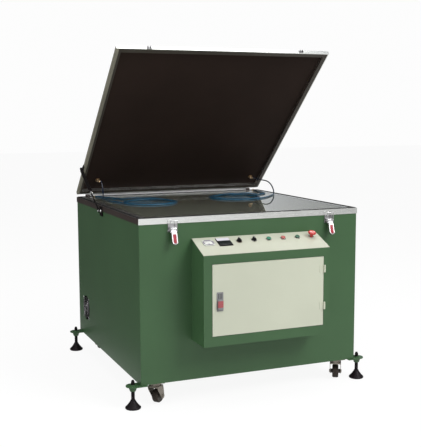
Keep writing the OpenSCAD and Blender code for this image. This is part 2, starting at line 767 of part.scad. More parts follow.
module control_box() color(green) at_cabinet() {
  difference() {
    translate([box_l, 0, 0])
      rotate([90, 0, 90])
        linear_extrude(box_w)
          polygon([[-skin_y, box_low], [-box_front, box_low], [-box_front, box_top],
            [-skin_y, slope_z(-skin_y, 0)]]);
    translate([box_l + sheet_t, 0, 0])
      rotate([90, 0, 90])
        linear_extrude(box_w - 2 * sheet_t)
          polygon([[-skin_y - sheet_t, box_low + sheet_t],
            [-box_front + sheet_t, box_low + sheet_t],
            [-box_front + sheet_t, slope_z(-box_front + sheet_t, sheet_t)],
            [-skin_y - sheet_t, slope_z(-skin_y - sheet_t, sheet_t)]]);
    box(box_l + 14, box_r - 14, -skin_y - sheet_t - 1, -skin_y + 1, box_low + 14,
      slope_z(-skin_y, 0) - 20);
    box(door_l - door_gap, door_r + door_gap, -box_front - 1, -box_front + sheet_t + 1,
      door_low - door_gap, door_top + door_gap);
    translate([0, -box_front, box_top])
      rotate([slope, 0, 0])
        box(box_l + 16, box_r - 16, 16, slope_len - 14, -20, 1);
  }
  for (z = door_hinge_zs)
    translate([door_axis_x, door_axis_y, z - door_hinge_h / 2]) {
      box(door_hinge_r + 1, 24, door_hinge_r - 2, door_hinge_r, 0, door_hinge_h);
      for (k = [0, 2])
        translate([0, 0, k * door_hinge_h / 3]) {
          box(0, door_hinge_r + 2, door_hinge_r - 2, door_hinge_r, 0, door_hinge_h / 3 - 0.4);
          rod_z(0, 0, 0, door_hinge_h / 3 - 0.4, door_hinge_r);
        }
      rod_z(0, 0, 0, door_hinge_h - 0.4, 2);
    }
}

module control_panel() color(cream) at_slope() difference() {
  box(box_l, box_r, 0, slope_len, 0, panel_t);
  for (x = switch_xs)
    rod_z(x, switch_line, -1, panel_t + 1, switch_r + 0.2);
  box(meter_x - meter_half[0] + 5, meter_x + meter_half[0] - 5, switch_line - meter_half[1] + 5,
    switch_line + meter_half[1] - 5, -1, panel_t + 1);
  box(display_x - display_half + 3.5, display_x + display_half - 3.5,
    switch_line - display_half + 3.5, switch_line + display_half - 3.5, -1, panel_t + 1);
}

module light_meter() color([0.85, 0.85, 0.87]) at_slope() {
  box(meter_x - meter_half[0], meter_x + meter_half[0], switch_line - meter_half[1],
    switch_line + meter_half[1], panel_t, panel_t + 6);
  box(meter_x - meter_half[0] + 5.5, meter_x + meter_half[0] - 5.5,
    switch_line - meter_half[1] + 5.5, switch_line + meter_half[1] - 5.5, -30, panel_t);
}

module timer_display() color(black) at_slope() {
  box(display_x - display_half, display_x + display_half, switch_line - display_half,
    switch_line + display_half, panel_t, panel_t + 5);
  box(display_x - display_half + 4, display_x + display_half - 4,
    switch_line - display_half + 4, switch_line + display_half - 4, -48, panel_t);
}

module switch_bodies() color(chrome) at_slope() {
  for (x = switch_xs) difference() {
    union() {
      rod_z(x, switch_line, -42, panel_t, switch_r);
      rod_z(x, switch_line, panel_t, panel_t + bezel_h, bezel_r);
    }
    rod_z(x, switch_line, -34, panel_t + bezel_h + 1, socket_r);
  }
}

// Knobs and buttons turn or slide in the sockets of the switch bodies
face_z = panel_t + bezel_h + face_gap;
module at_switch(i) {
  at_slope() translate([switch_xs[i], switch_line, face_z])
    children();
}

module selector(i) {
  color(black) at_switch(i) {
    rod_z(0, 0, -30, 0, socket_r - turn_fit);
    rod_z(0, 0, 0, 7, 13);
    box(-4, 4, -13, 13, 7, 16);
  }
}

module selector_left() selector(0);
module selector_right() selector(1);

module push_button(i) {
  at_switch(i) {
    rod_z(0, 0, -28 + button_travel, button_travel, socket_r - turn_fit);
    rod_z(0, 0, button_travel, button_travel + 6, 12.5);
  }
}

module button_green() color([0.02, 0.4, 0.3]) push_button(2);
module button_red() color([0.75, 0.3, 0.3]) push_button(3);
module button_dark() color([0.1, 0.25, 0.2]) push_button(4);

module emergency_stop() color(red) at_switch(5) {
  rod_z(0, 0, -26 + button_travel, 12 + button_travel, socket_r - turn_fit);
  translate([0, 0, 12 + button_travel])
    cylinder(h = 4, r1 = stop_r - 3, r2 = stop_r);
  rod_z(0, 0, 16 + button_travel, 22 + button_travel, stop_r);
  translate([0, 0, 22 + button_travel])
    cylinder(h = 4, r1 = stop_r, r2 = stop_r - 6);
}

// Mounting plate with its gear in the control box, and the ballast and cable gland
module electrical_gear() color([0.55, 0.56, 0.55]) at_cabinet() {
  box(box_l + 55, box_r - 55, -skin_y - 8, -skin_y - 6, box_low + 40, box_low + 400);
  for (x = [box_l + 78, box_r - 68])
    for (z = [box_low + 60, box_low + 380])
      rod_y(x, -skin_y - 6, -skin_y, z, 6);
  for (i = [0:2])
    box(box_l + 118 + i * 75, box_l + 178 + i * 75, -skin_y - 85, -skin_y - 8, box_low + 270, box_low + 350);
  for (i = [0:3])
    box(box_l + 388 + i * 50, box_l + 424 + i * 50, -skin_y - 75, -skin_y - 8, box_low + 270, box_low + 355);
  for (i = [0:11])
    box(box_l + 118 + i * 20, box_l + 134 + i * 20, -skin_y - 50, -skin_y - 8, box_low + 110, box_low + 160);
  box(box_r - 298, box_r - 118, -skin_y - 100, -skin_y - 8, box_low + 90, box_low + 200);
  box(-480, -260, 300, 440, under_h + sheet_t, under_h + sheet_t + 120);
  difference() {
    union() {
      rod_y(420, in_y - 10, half_d + gland_out - 8, under_h + 60, 8);
      rod_y(420, skin_y, half_d + gland_out, under_h + 60, 13);
      rod_y(420, in_y - 5, in_y, under_h + 60, 12);
    }
    rod_y(420, in_y - 20, half_d + gland_out + 1, under_h + 60, 5);
  }
}

// Door with folded edges and half of each hinge
module door_panel() color(cream) at_cabinet() difference() {
  union() {
    difference() {
      box(door_l, door_r, -box_front, -box_front + door_fold + sheet_t, door_low, door_top);
      box(door_l + sheet_t, door_r - sheet_t, -box_front + sheet_t, -box_front + 40,
        door_low + sheet_t, door_top - sheet_t);
    }
    for (z = door_hinge_zs)
      translate([door_axis_x, door_axis_y, z - door_hinge_h / 2]) {
        box(-28, -door_hinge_r - 1, door_hinge_r - 2, door_hinge_r, 0, door_hinge_h);
        translate([0, 0, door_hinge_h / 3]) {
          box(-door_hinge_r - 2, 0, door_hinge_r - 2, door_hinge_r, 0, door_hinge_h / 3 - 0.4);
          rod_z(0, 0, 0, door_hinge_h / 3 - 0.4, door_hinge_r);
        }
      }
  }
  for (z = door_hinge_zs)
    rod_z(door_axis_x, door_axis_y, z - door_hinge_h, z + door_hinge_h, 2 + turn_fit);
  box(lock_x - 13.7, lock_x + 13.7, -box_front - 1, -box_front + sheet_t + 1, lock_low + 12,
    lock_low + lock_h - 12);
}

module lock_housing() color(steel) at_cabinet() difference() {
  union() {
    box(lock_x - lock_w / 2, lock_x + lock_w / 2, -box_front - 3, -box_front, lock_low,
      lock_low + lock_h);
    box(lock_x - 13.5, lock_x + 13.5, -box_front, -box_front + 20, lock_low + 12.2,
      lock_low + lock_h - 12.2);
  }
  box(lock_x - 11.3, lock_x + 11.3, -box_front - 4, -box_front + 17, lock_button_z - 11.3,
    lock_button_z + 11.3);
  for (x = [-9, 0, 9])
    box(lock_x + x - 2, lock_x + x + 2, -box_front - 4, -box_front - 1.5,
      lock_button_z + lock_half[1] + 5, lock_low + lock_h - 7);
}

module lock_button() color(red) at_cabinet() {
  box(lock_x - lock_half[0], lock_x + lock_half[0], -box_front - lock_out,
    -box_front - 3 - lock_travel - face_gap, lock_button_z - lock_half[1],
    lock_button_z + lock_half[1]);
  box(lock_x - 11, lock_x + 11, -box_front - 3 - lock_travel - face_gap, -box_front + 12,
    lock_button_z - 11, lock_button_z + 11);
}

// Levelling foot: bell and threaded stem
module levelling_foot(sx, sy) {
  color(black) at_cabinet() translate([sx * (half_w + foot_out), sy * (half_d - foot_in), 0]) {
    rotate_extrude()
      polygon([[0, 0], [foot_r - 2, 0], [foot_r, 3], [foot_r, 8], [foot_r - 5, 13],
        [stem_r + 4, foot_h - 4], [stem_r + 2, foot_h], [0, foot_h]]);
    rod_z(0, 0, foot_h - 1, stem_top - 6, stem_r);
    rod_z(0, 0, stem_top - 6, stem_top, stem_r - 3);
  }
}

module levelling_foot_front_left() levelling_foot(-1, -1);
module levelling_foot_front_right() levelling_foot(1, -1);
module levelling_foot_rear_left() levelling_foot(-1, 1);
module levelling_foot_rear_right() levelling_foot(1, 1);

// Castors: the front pair swivels under its plates, the rear pair has fixed forks
module fork_shape() {
  for (s = [-1, 1])
    translate([s > 0 ? 29 : -32, 0, 0]) {
      rotate([90, 0, 90])
        linear_extrude(3)
          polygon([[-28, crown_z + 2], [28, crown_z + 2], [24, crown_z - 12],
            [-castor_trail + 15, axle_z - 4], [-castor_trail - 15, axle_z - 4],
            [-32, crown_z - 12]]);
      rod_x(0, 3, -castor_trail, axle_z, 15);
    }
  box(-32, 32, -28, 28, crown_z, crown_z + crown_t);
  rod_x(-36, 36, -castor_trail, axle_z, axle_r);
  for (s = [-1, 1])
    rod_x(s > 0 ? 32 : -36, s > 0 ? 36 : -32, -castor_trail, axle_z, 9);
}

module at_front_castor(sx) {
  at_cabinet() translate([sx * castor_x, -castor_y, 0])
    rotate([0, 0, front_turns[sx > 0 ? 1 : 0]])
      children();
}

module castor_mounts() color(steel) at_cabinet() {
  for (sx = [-1, 1]) {
    translate([sx * castor_x, -castor_y, 0]) {
      box(-40, 40, -40, 40, castor_top - 4, castor_top);
      rod_z(0, 0, crown_z + crown_t + face_gap, castor_top, 28);
      rod_z(0, 0, crown_z - 5.7, castor_top, kingpin_r);
      rod_z(0, 0, crown_z - 5.7, crown_z - face_gap, 10);
    }
    translate([sx * castor_rear_x, castor_y, 0]) {
      box(-40, 40, -40, 40, castor_top - 4, castor_top);
      box(-28, 28, -24, 24, crown_z + 1, castor_top);
      fork_shape();
    }
  }
}

module castor_fork(sx) {
  color(steel) at_front_castor(sx) difference() {
    fork_shape();
    rod_z(0, 0, crown_z - 10, crown_z + 10, kingpin_r + turn_fit);
  }
}

module castor_fork_left() castor_fork(-1);
module castor_fork_right() castor_fork(1);

module wheel_shape() {
  translate([0, -castor_trail, axle_z]) rotate([0, 90, 0]) rotate_extrude()
    polygon([[axle_r + turn_fit, -28.7], [12, -28.7], [12, -wheel_w / 2 + 2],
      [wheel_r - 8, -wheel_w / 2 + 2], [wheel_r - 5, -wheel_w / 2], [wheel_r, -wheel_w / 2 + 6],
      [wheel_r, wheel_w / 2 - 6], [wheel_r - 5, wheel_w / 2], [wheel_r - 8, wheel_w / 2 - 2],
      [12, wheel_w / 2 - 2], [12, 28.7], [axle_r + turn_fit, 28.7]]);
}

module castor_wheel_front_left() color(black) at_front_castor(-1) wheel_shape();
module castor_wheel_front_right() color(black) at_front_castor(1) wheel_shape();
module rear_wheel(sx) {
  color(black) at_cabinet() translate([sx * castor_rear_x, castor_y, 0])
    wheel_shape();
}
module castor_wheel_rear_left() rear_wheel(-1);
module castor_wheel_rear_right() rear_wheel(1);

// Fan inside the left sheet, with a wire guard outside it
module fan_housing() color(black) at_cabinet() translate([0, fan_y, fan_z]) {
  difference() {
    box(-in_x, -in_x + 38, -86, 86, -86, 86);
    rod_x(-in_x - 1, -in_x + 39, 0, 0, fan_r - 1);
  }
  for (a = [0:90:270])
    rotate([a, 0, 0])
      box(-in_x + 33, -in_x + 37, 20, fan_r + 2, -5, 5);
  rod_x(-in_x + 28, -in_x + 38, 0, 0, 30);
  rod_x(-in_x + 6, -in_x + 38, 0, 0, 4);
  for (r = [20, 34, 48, 62])
    translate([-skin_x - 2, 0, 0])
      rotate([0, 90, 0])
        difference() {
          cylinder(h = 1.5, r = r + 1.2);
          translate([0, 0, -1])
            cylinder(h = 4, r = r - 1.2);
        }
  for (a = [45:90:315])
    rotate([a, 0, 0]) {
      box(-skin_x - 1.5, -skin_x, 18, fan_r + 12, -1.5, 1.5);
      rod_x(-skin_x - 1.5, -skin_x, fan_r + 12, 0, 5);
    }
}

module fan_rotor() color([0.15, 0.15, 0.15]) at_cabinet() translate([-in_x, fan_y, fan_z])
  difference() {
    union() {
      rod_x(5, 27.5, 0, 0, 32);
      for (a = [0:60:300])
        rotate([a, 0, 0])
          translate([16, 51, 0])
            rotate([0, 35, 0])
              cube([2.5, 44, 26], center = true);
    }
    rod_x(0, 40, 0, 0, 4 + turn_fit);
  }

// Lamp: parabolic trough on four legs, with a flat strip for the holders of the tube at its focus
lamp_z = under_h + 75;
focus = 100;
lamp_half = body_w / 5;
dish_step = body_d * 3 / 130;
function dish(y) = lamp_z + max(0, y * y - dish_step * dish_step) / (4 * focus);
module lamp_reflector() color(chrome) at_cabinet() {
  translate([-lamp_half, 0, 0])
    rotate([90, 0, 90])
      linear_extrude(2 * lamp_half)
        polygon(concat([for (k = [-8:8]) [k * dish_step, dish(k * dish_step)]],
          [for (k = [8:-1:-8]) [k * dish_step, dish(k * dish_step) - 2.5]]));
  corners(lamp_half - 30, 4 * dish_step)
    box(-12, 12, -12, 12, under_h + sheet_t, dish(4 * dish_step - 12) - 1);
}

module uv_lamp() color([0.9, 0.92, 0.95]) at_cabinet() {
  rod_x(-175, 175, 0, lamp_z + focus, 13);
  for (s = [-1, 1]) {
    rod_x(s > 0 ? 150 : -190, s > 0 ? 190 : -150, 0, lamp_z + focus, 17);
    box(s * 195 - 12, s * 195 + 12, -22, 22, lamp_z, lamp_z + focus + 22);
  }
}

// Vacuum pump with the pipe to the two unions beside the glass
pump_base = under_h + sheet_t;
pipe_z = table_h - 70;
module vacuum_pump() color([0.35, 0.38, 0.42]) at_cabinet() {
  box(230, 520, 330, 470, pump_base, pump_base + 12);
  for (x = [270, 420])
    box(x - 10, x + 10, 350, 450, pump_base, pump_base + 60);
  rod_x(240, 450, 400, pump_base + 90, 68);
  rod_x(450, 515, 400, pump_base + 90, 55);
  rod_z(480, 400, pump_base + 90, pump_base + 175, 14);
  rod_z(480, 400, pump_base + 175, pipe_z, 5);
  rod_y(480, 400, union_y, pipe_z, 5);
  rod_x(union_lx - 5, union_rx + 5, union_y, pipe_z, 5);
  for (x = [union_lx, union_rx]) {
    rod_z(x, union_y, pipe_z, hose_z, 3);
    rod_z(x, union_y, table_h, hose_z + 5, 4.4);
    box(x - 9, x + 9, union_y - 4.4, union_y + 12, table_h, table_h + min(3, seal_t));
    rod_y(x, union_face, union_y, hose_z, min(3.9, hose_r));
  }
}

module hose_coil_left() color(blue) at_cabinet() {
  echo(left_hose_gap = least_gap(hose_lp), left_hose_rings = len(hose_lp));
  tube(hose_lp, hose_r, 6);
}

module hose_coil_right() color(blue) at_cabinet() {
  echo(right_hose_gap = least_gap(hose_rp), right_hose_rings = len(hose_rp));
  tube(hose_rp, hose_r, 6);
}

module hose_lead_left() color(blue) at_cabinet() {
  echo(left_lead_gap = least_gap(lead_lp), left_lead_rings = len(lead_lp));
  tube(lead_lp, hose_r, 8);
}

module hose_lead_right() color(blue) at_cabinet() {
  echo(right_lead_gap = least_gap(lead_rp), right_lead_rings = len(lead_rp));
  tube(lead_rp, hose_r, 8);
}

// Show one node or all of them
front_panel();
left_side_panel();
right_side_panel();
rear_panel();
bottom_pan();
steel_frame();
top_rim();
table_glass();
rim_gasket();
hinge_base();
control_box();
control_panel();
light_meter();
timer_display();
switch_bodies();
electrical_gear();
latch_bases();
castor_mounts();
fan_housing();
lamp_reflector();
uv_lamp();
vacuum_pump();
strut_base_bracket();
hose_coil_left();
hose_coil_right();
lid_frame();
rubber_blanket();
blanket_clamps();
vacuum_nozzles();
latch_keepers();
hinge_lid_leaf();
strut_lid_bracket();
hose_lead_left();
hose_lead_right();
strut_cylinder();
strut_rod();
door_panel();
lock_housing();
lock_button();
latch_lever_left();
latch_lever_right();
latch_bail_left();
latch_bail_right();
selector_left();
selector_right();
button_green();
button_red();
button_dark();
emergency_stop();
castor_fork_left();
castor_fork_right();
castor_wheel_front_left();
castor_wheel_front_right();
castor_wheel_rear_left();
castor_wheel_rear_right();
levelling_foot_front_left();
levelling_foot_front_right();
levelling_foot_rear_left();
levelling_foot_rear_right();
fan_rotor();
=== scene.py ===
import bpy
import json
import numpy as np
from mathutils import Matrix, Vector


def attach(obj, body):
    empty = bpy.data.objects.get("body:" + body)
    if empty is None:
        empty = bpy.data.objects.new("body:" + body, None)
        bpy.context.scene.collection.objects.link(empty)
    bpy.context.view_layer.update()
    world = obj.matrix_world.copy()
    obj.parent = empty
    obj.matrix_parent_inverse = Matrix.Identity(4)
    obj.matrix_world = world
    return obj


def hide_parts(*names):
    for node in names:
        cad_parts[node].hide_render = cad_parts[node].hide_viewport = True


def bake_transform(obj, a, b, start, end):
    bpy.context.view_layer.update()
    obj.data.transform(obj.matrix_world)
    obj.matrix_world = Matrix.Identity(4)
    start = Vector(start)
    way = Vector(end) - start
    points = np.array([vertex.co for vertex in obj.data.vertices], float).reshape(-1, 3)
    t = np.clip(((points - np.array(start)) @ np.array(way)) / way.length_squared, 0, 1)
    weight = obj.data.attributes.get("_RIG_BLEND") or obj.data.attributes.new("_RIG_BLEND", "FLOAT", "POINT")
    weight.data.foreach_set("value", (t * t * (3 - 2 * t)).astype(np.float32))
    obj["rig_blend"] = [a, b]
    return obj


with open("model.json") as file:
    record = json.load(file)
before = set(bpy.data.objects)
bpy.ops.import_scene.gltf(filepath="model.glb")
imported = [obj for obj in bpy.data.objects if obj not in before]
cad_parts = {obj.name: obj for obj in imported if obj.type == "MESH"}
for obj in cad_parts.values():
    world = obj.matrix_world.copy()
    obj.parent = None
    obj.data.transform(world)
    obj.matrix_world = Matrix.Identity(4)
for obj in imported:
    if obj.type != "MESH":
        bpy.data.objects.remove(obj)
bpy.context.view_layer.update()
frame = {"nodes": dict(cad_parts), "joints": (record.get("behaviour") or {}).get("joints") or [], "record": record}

import json
import math

import bmesh
import bpy
from mathutils import Matrix, Vector

# Camera: it stands left of the machine's middle at the height of a person's eyes and looks
# slightly down, as the photograph was taken.
cabinet_y = 0.0765
table = 1.005
yaw, pitch, roll = 0.393610, -0.126991, -0.003570
ahead = Vector((math.sin(yaw) * math.cos(pitch), math.cos(yaw) * math.cos(pitch), math.sin(pitch)))
side = Vector((math.cos(yaw), -math.sin(yaw), 0.0))
over = side.cross(ahead)
right = side * math.cos(roll) + over * math.sin(roll)
up = over * math.cos(roll) - side * math.sin(roll)
eye = bpy.data.cameras.new("camera")
film = 36.0
focal_pixels, picture_pixels = 859.02, 447.0
eye.sensor_width = film
eye.lens = film * focal_pixels / picture_pixels
eye.clip_end = 60.0


def shown(name, data):
    obj = bpy.data.objects.new(name, data)
    bpy.context.scene.collection.objects.link(obj)
    return obj


stand = (-1.9771, cabinet_y - 4.8067, table + 0.5315)
camera = shown("camera", eye)
camera.matrix_world = Matrix((
    (right.x, up.x, -ahead.x, stand[0]),
    (right.y, up.y, -ahead.y, stand[1]),
    (right.z, up.z, -ahead.z, stand[2]),
    (0, 0, 0, 1),
))
bpy.context.scene.camera = camera

# Studio: a white floor and white surroundings, with large soft lamps above and in front.
# Only rays from the camera see the surroundings at full white. Bright metal, glass and gloss
# see a black card at the back left and a grey one at the right.
bpy.context.scene.view_settings.view_transform = "Standard"


def lamp(name, place, aim, size, power):
    data = bpy.data.lights.new(name, "AREA")
    data.shape = "RECTANGLE"
    data.size, data.size_y = size
    data.energy = power
    obj = shown(name, data)
    obj.location = place
    obj.rotation_euler = (Vector(aim) - Vector(place)).to_track_quat("-Z", "Y").to_euler()


lamp("key_light", (2.4, -4.2, 4.2), (0.1, 0.0, 0.7), (2.6, 2.6), 190)
lamp("top_light", (0.0, -0.6, 4.6), (0.0, 0.0, 1.0), (3.5, 3.0), 70)
lamp("left_light", (-4.6, -1.2, 2.2), (0.0, 0.0, 0.7), (2.0, 2.6), 40)


def added(nt, kind, values=()):
    # A new node in a tree, with the given values on its inputs
    node = nt.nodes.new(kind)
    for socket, value in dict(values).items():
        node.inputs[socket].default_value = value
    return node


def wired(nt, *pairs):
    for source, target in pairs:
        nt.links.new(source, target)


def worked_out(nt, operation, first, second):
    # One sum of two values or sockets
    step = added(nt, "ShaderNodeMath")
    step.operation = operation
    for given, socket in zip((first, second), step.inputs):
        if isinstance(given, float):
            socket.default_value = given
        else:
            wired(nt, (given, socket))
    return step.outputs[0]


def card(nt, value, near, far, dark):
    # A black or grey card in the mirror image: 1 up to near, and the card's shade from far on
    fade = added(nt, "ShaderNodeMapRange", {
        "From Min": near, "From Max": far, "To Min": 1.0, "To Max": dark})
    fade.interpolation_type = "SMOOTHSTEP"
    wired(nt, (value, fade.inputs["Value"]))
    return fade.outputs["Result"]


def by_ray(nt, ray, others, own):
    # One shader for the rays of a kind and another for all others
    mix = added(nt, "ShaderNodeMixShader")
    wired(nt, (ray, mix.inputs["Fac"]), (others, mix.inputs[1]), (own, mix.inputs[2]))
    return mix.outputs[0]


mirror_light, black_card, grey_card = 0.94, 0.10, 0.35
world = bpy.data.worlds.new("studio")
bpy.context.scene.world = world
world.use_nodes = True
wt = world.node_tree
wt.nodes.clear()
w_out = added(wt, "ShaderNodeOutputWorld")
w_fill = added(wt, "ShaderNodeBackground", {"Color": (1, 1, 1, 1), "Strength": 0.42})
w_seen = added(wt, "ShaderNodeBackground", {"Color": (1, 1, 1, 1), "Strength": 0.98})
w_mirror = added(wt, "ShaderNodeBackground", {"Color": (0.94, 0.97, 1, 1)})
w_path = added(wt, "ShaderNodeLightPath").outputs
w_axes = added(wt, "ShaderNodeSeparateXYZ")
wired(wt, (added(wt, "ShaderNodeTexCoord").outputs["Generated"], w_axes.inputs["Vector"]))
w_right, w_back = w_axes.outputs["X"], w_axes.outputs["Y"]
w_cards = worked_out(
    wt, "MULTIPLY", card(wt, worked_out(wt, "SUBTRACT", w_back, w_right), 0.46, 0.51, black_card),
    card(wt, w_right, 0.34, 0.56, grey_card))
w_bright = worked_out(wt, "MAXIMUM", w_path["Is Glossy Ray"], w_path["Is Transmission Ray"])
w_unseen = by_ray(wt, w_bright, w_fill.outputs[0], w_mirror.outputs[0])
wired(wt, (worked_out(wt, "MULTIPLY", w_cards, mirror_light), w_mirror.inputs["Strength"]),
      (by_ray(wt, w_path["Is Camera Ray"], w_unseen, w_seen.outputs[0]), w_out.inputs["Surface"]))

ground = bpy.data.meshes.new("floor")
ground.from_pydata([(-30, -30, 0), (30, -30, 0), (30, 30, 0), (-30, 30, 0)], [], [(0, 1, 2, 3)])
floor = shown("floor", ground)
floor_mat = bpy.data.materials.new("studio_floor")
floor_mat.use_nodes = True
ft = floor_mat.node_tree
ft.nodes.clear()
f_out = added(ft, "ShaderNodeOutputMaterial")
f_dark = added(ft, "ShaderNodeBsdfDiffuse", {"Color": (0.10, 0.10, 0.10, 1)})
f_glow = added(ft, "ShaderNodeEmission", {"Strength": 0.915})
f_soft = added(ft, "ShaderNodeBsdfDiffuse", {"Color": (0.7, 0.7, 0.7, 1)})
f_shine = added(ft, "ShaderNodeEmission")
f_seen = added(ft, "ShaderNodeAddShader")
f_path = added(ft, "ShaderNodeLightPath").outputs
f_axes = added(ft, "ShaderNodeSeparateXYZ")
wired(ft, (added(ft, "ShaderNodeTexCoord").outputs["Object"], f_axes.inputs["Vector"]))
f_corner = worked_out(ft, "MINIMUM", worked_out(ft, "MULTIPLY", f_axes.outputs["X"], -1.0),
                      worked_out(ft, "ADD", f_axes.outputs["Y"], 1.40))
f_cards = worked_out(ft, "MULTIPLY", card(ft, f_corner, 0.62, 0.95, black_card),
                     card(ft, f_axes.outputs["X"], 1.2, 5.5, grey_card))
f_unseen = by_ray(ft, f_path["Is Glossy Ray"], f_soft.outputs[0], f_shine.outputs[0])
wired(ft, (worked_out(ft, "MULTIPLY", f_cards, mirror_light), f_shine.inputs["Strength"]),
      (f_dark.outputs[0], f_seen.inputs[0]), (f_glow.outputs[0], f_seen.inputs[1]),
      (by_ray(ft, f_path["Is Camera Ray"], f_unseen, f_seen.outputs[0]), f_out.inputs["Surface"]))
ground.materials.append(floor_mat)

# Welded frame: square tube posts under a folded ring that carries the glass. It is painted
# grey and stays hidden behind the sheets, apart from the part seen through the glass.
record = frame["record"]
bodies = record["behaviour"]["bodies"]
rides_on = {n: body for body, members in bodies.items() for n in members}


def shader(name, rough, metallic=0.0, coat=0.0, specular=0.5):
    mat = bpy.data.materials.new(name)
    mat.use_nodes = True
    b = mat.node_tree.nodes["Principled BSDF"]
    for socket, value in (("Metallic", metallic), ("Roughness", rough), ("Coat Weight", coat),
                          ("Coat Roughness", 0.12), ("Specular IOR Level", specular)):
        b.inputs[socket].default_value = value
    return mat, mat.node_tree, b


def grained(made, colour, rough, shade, wide, fine, depth, stretch=(1, 1, 1), spread=0.06):
    # Slow changes of shade and gloss, and a fine relief, both from noise on the piece itself
    mat, nt, b = made
    own = added(nt, "ShaderNodeTexCoord").outputs["Object"]
    way = added(nt, "ShaderNodeMapping", {"Scale": stretch})
    slow = added(nt, "ShaderNodeTexNoise", {"Scale": wide, "Detail": 5.0})
    quick = added(nt, "ShaderNodeTexNoise", {"Scale": fine, "Detail": 3.0})
    bump = added(nt, "ShaderNodeBump", {"Strength": depth, "Distance": 0.0005})
    gloss = added(nt, "ShaderNodeMapRange", {
        "From Min": 0.3, "From Max": 0.7,
        "To Min": max(0.03, rough - spread), "To Max": min(1.0, rough + spread)})
    ramp = added(nt, "ShaderNodeValToRGB")
    for stop, place, part in zip(ramp.color_ramp.elements, (0.3, 0.7), (1 - shade, 1 + shade)):
        stop.position = place
        stop.color = (*[min(1, c * part) for c in colour], 1)
    wired(nt, (own, slow.inputs["Vector"]), (own, way.inputs["Vector"]),
          (way.outputs["Vector"], quick.inputs["Vector"]),
          (slow.outputs["Fac"], ramp.inputs["Fac"]),
          (ramp.outputs["Color"], b.inputs["Base Color"]),
          (quick.outputs["Fac"], gloss.inputs["Value"]),
          (gloss.outputs["Result"], b.inputs["Roughness"]),
          (quick.outputs["Fac"], bump.inputs["Height"]),
          (bump.outputs["Normal"], b.inputs["Normal"]))
    return mat


def paint(name, colour, rough=0.38, shade=0.05, depth=0.10, specular=0.5):
    made = shader(name, rough, specular=specular)
    return grained(made, colour, rough, shade, 3.2, 420.0, depth)


def moulding_grain(name, colour, rough=0.3, coat=0.2, specular=0.5):
    made = shader(name, rough, coat=coat, specular=specular)
    return grained(made, colour, rough, 0.04, 14.0, 900.0, 0.06)


def brushed(name, colour, rough, along):
    # Fine lines run along the bar, so the noise is drawn out that way
    stretch = [0.012 if axis == along else 1.0 for axis in "xyz"]
    return grained(shader(name, rough, metallic=1.0), colour, rough, 0.06, 2.5, 900.0, 0.12,
                   stretch, 0.07)


def plated(name, colour, rough=0.16, metallic=1.0):
    made = shader(name, rough, metallic=metallic)
    return grained(made, colour, rough, 0.05, 22.0, 300.0, 0.03)


def fix_on(obj, node, *also):
    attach(obj, rides_on[node])
    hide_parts(node, *also)


wide_face = 0.0004  # square metres


def into_piece(name, bm, mats, pick=None, keep=35):
    # The mesh becomes a finished object; pick names the finish of each face by its place. Wide
    # faces are shaded flat, so that a rounded edge doesn't bend the look of the sheet beside it.
    mesh = bpy.data.meshes.new(name)
    bm.to_mesh(mesh)
    bm.free()
    for mat in mats:
        mesh.materials.append(mat)
    for layer in [a for a in mesh.attributes if a.name == "custom_normal"]:
        mesh.attributes.remove(layer)
    mesh.set_sharp_from_angle(angle=math.radians(keep))
    for p in mesh.polygons:
        p.use_smooth = p.area < wide_face
        if pick:
            p.material_index = pick(p.center, p.normal)
    return shown(name, mesh)


def eased(node, mats, edge=0.0006, pick=None, keep=35, steps=2, cuts=()):
    # The node's own shape with its edges broken, as on the real part. Each cut is a point and a
    # direction, and parts the faces where one finish ends and the next begins.
    bm = bmesh.new()
    bm.from_mesh(frame["nodes"][node].data)
    bmesh.ops.remove_doubles(bm, verts=bm.verts, dist=4e-6)
    bmesh.ops.dissolve_limit(bm, angle_limit=math.radians(0.5), verts=bm.verts, edges=bm.edges)
    if edge:
        sharp = [e for e in bm.edges if len(e.link_faces) == 2
                 and e.calc_face_angle(0) > math.radians(keep)]
        bmesh.ops.bevel(bm, geom=sharp, offset=edge, segments=steps, profile=0.5,
                        affect="EDGES", clamp_overlap=True)
    for point, across in cuts:
        bmesh.ops.bisect_plane(bm, geom=bm.verts[:] + bm.edges[:] + bm.faces[:], dist=1e-6,
                               plane_co=point, plane_no=across)
    fix_on(into_piece(node + "_finished", bm, mats, pick, keep), node)


frame_grey = paint("grey_frame_paint", (0.16, 0.17, 0.165), 0.5)
eased("steel_frame", [frame_grey], edge=0.0005)

# Cabinet sheets: 2 mm steel with a semi-gloss green powder coat over a fine orange peel. The
# left one has the round fan opening and the rear one two banks of pressed louvres.
green = paint("green_powder_coat", (0.050, 0.118, 0.048), depth=0.12, specular=0.4)
for sheet in ("front_panel", "rear_panel", "left_side_panel", "right_side_panel"):
    eased(sheet, [green], edge=0.0004)

# Bottom sheet: the same green coat, with an ear and a threaded boss for each levelling foot.
# The ears are welded on and stick out past the sides.
eased("bottom_pan", [green], edge=0.001)

# Rear sheet's screws: zinc pan heads along its four edges, because it comes off for service.
# Each has a cross recess, and they stand in even rows.
zinc = plated("zinc_plate", (0.50, 0.49, 0.46), 0.32)
# The cross recesses of the screws are near black: painted shade in the hollow
recess_painted_shade = moulding_grain("recess_shadow", (0.012, 0.012, 0.012), 0.6, coat=0.0)


def node_tree(name, sizes):
    # An empty tree with a geometry socket on each side and the named sizes as inputs
    tree = bpy.data.node_groups.new(name, "GeometryNodeTree")
    tree.interface.new_socket("Geometry", in_out="OUTPUT", socket_type="NodeSocketGeometry")
    keys = {}
    for label, kind in [("Geometry", "Geometry")] + sizes:
        keys[label] = tree.interface.new_socket(label, in_out="INPUT",
                                                socket_type="NodeSocket" + kind).identifier
    given, result = added(tree, "NodeGroupInput"), added(tree, "NodeGroupOutput")
    return tree, given.outputs, result.inputs[0], keys


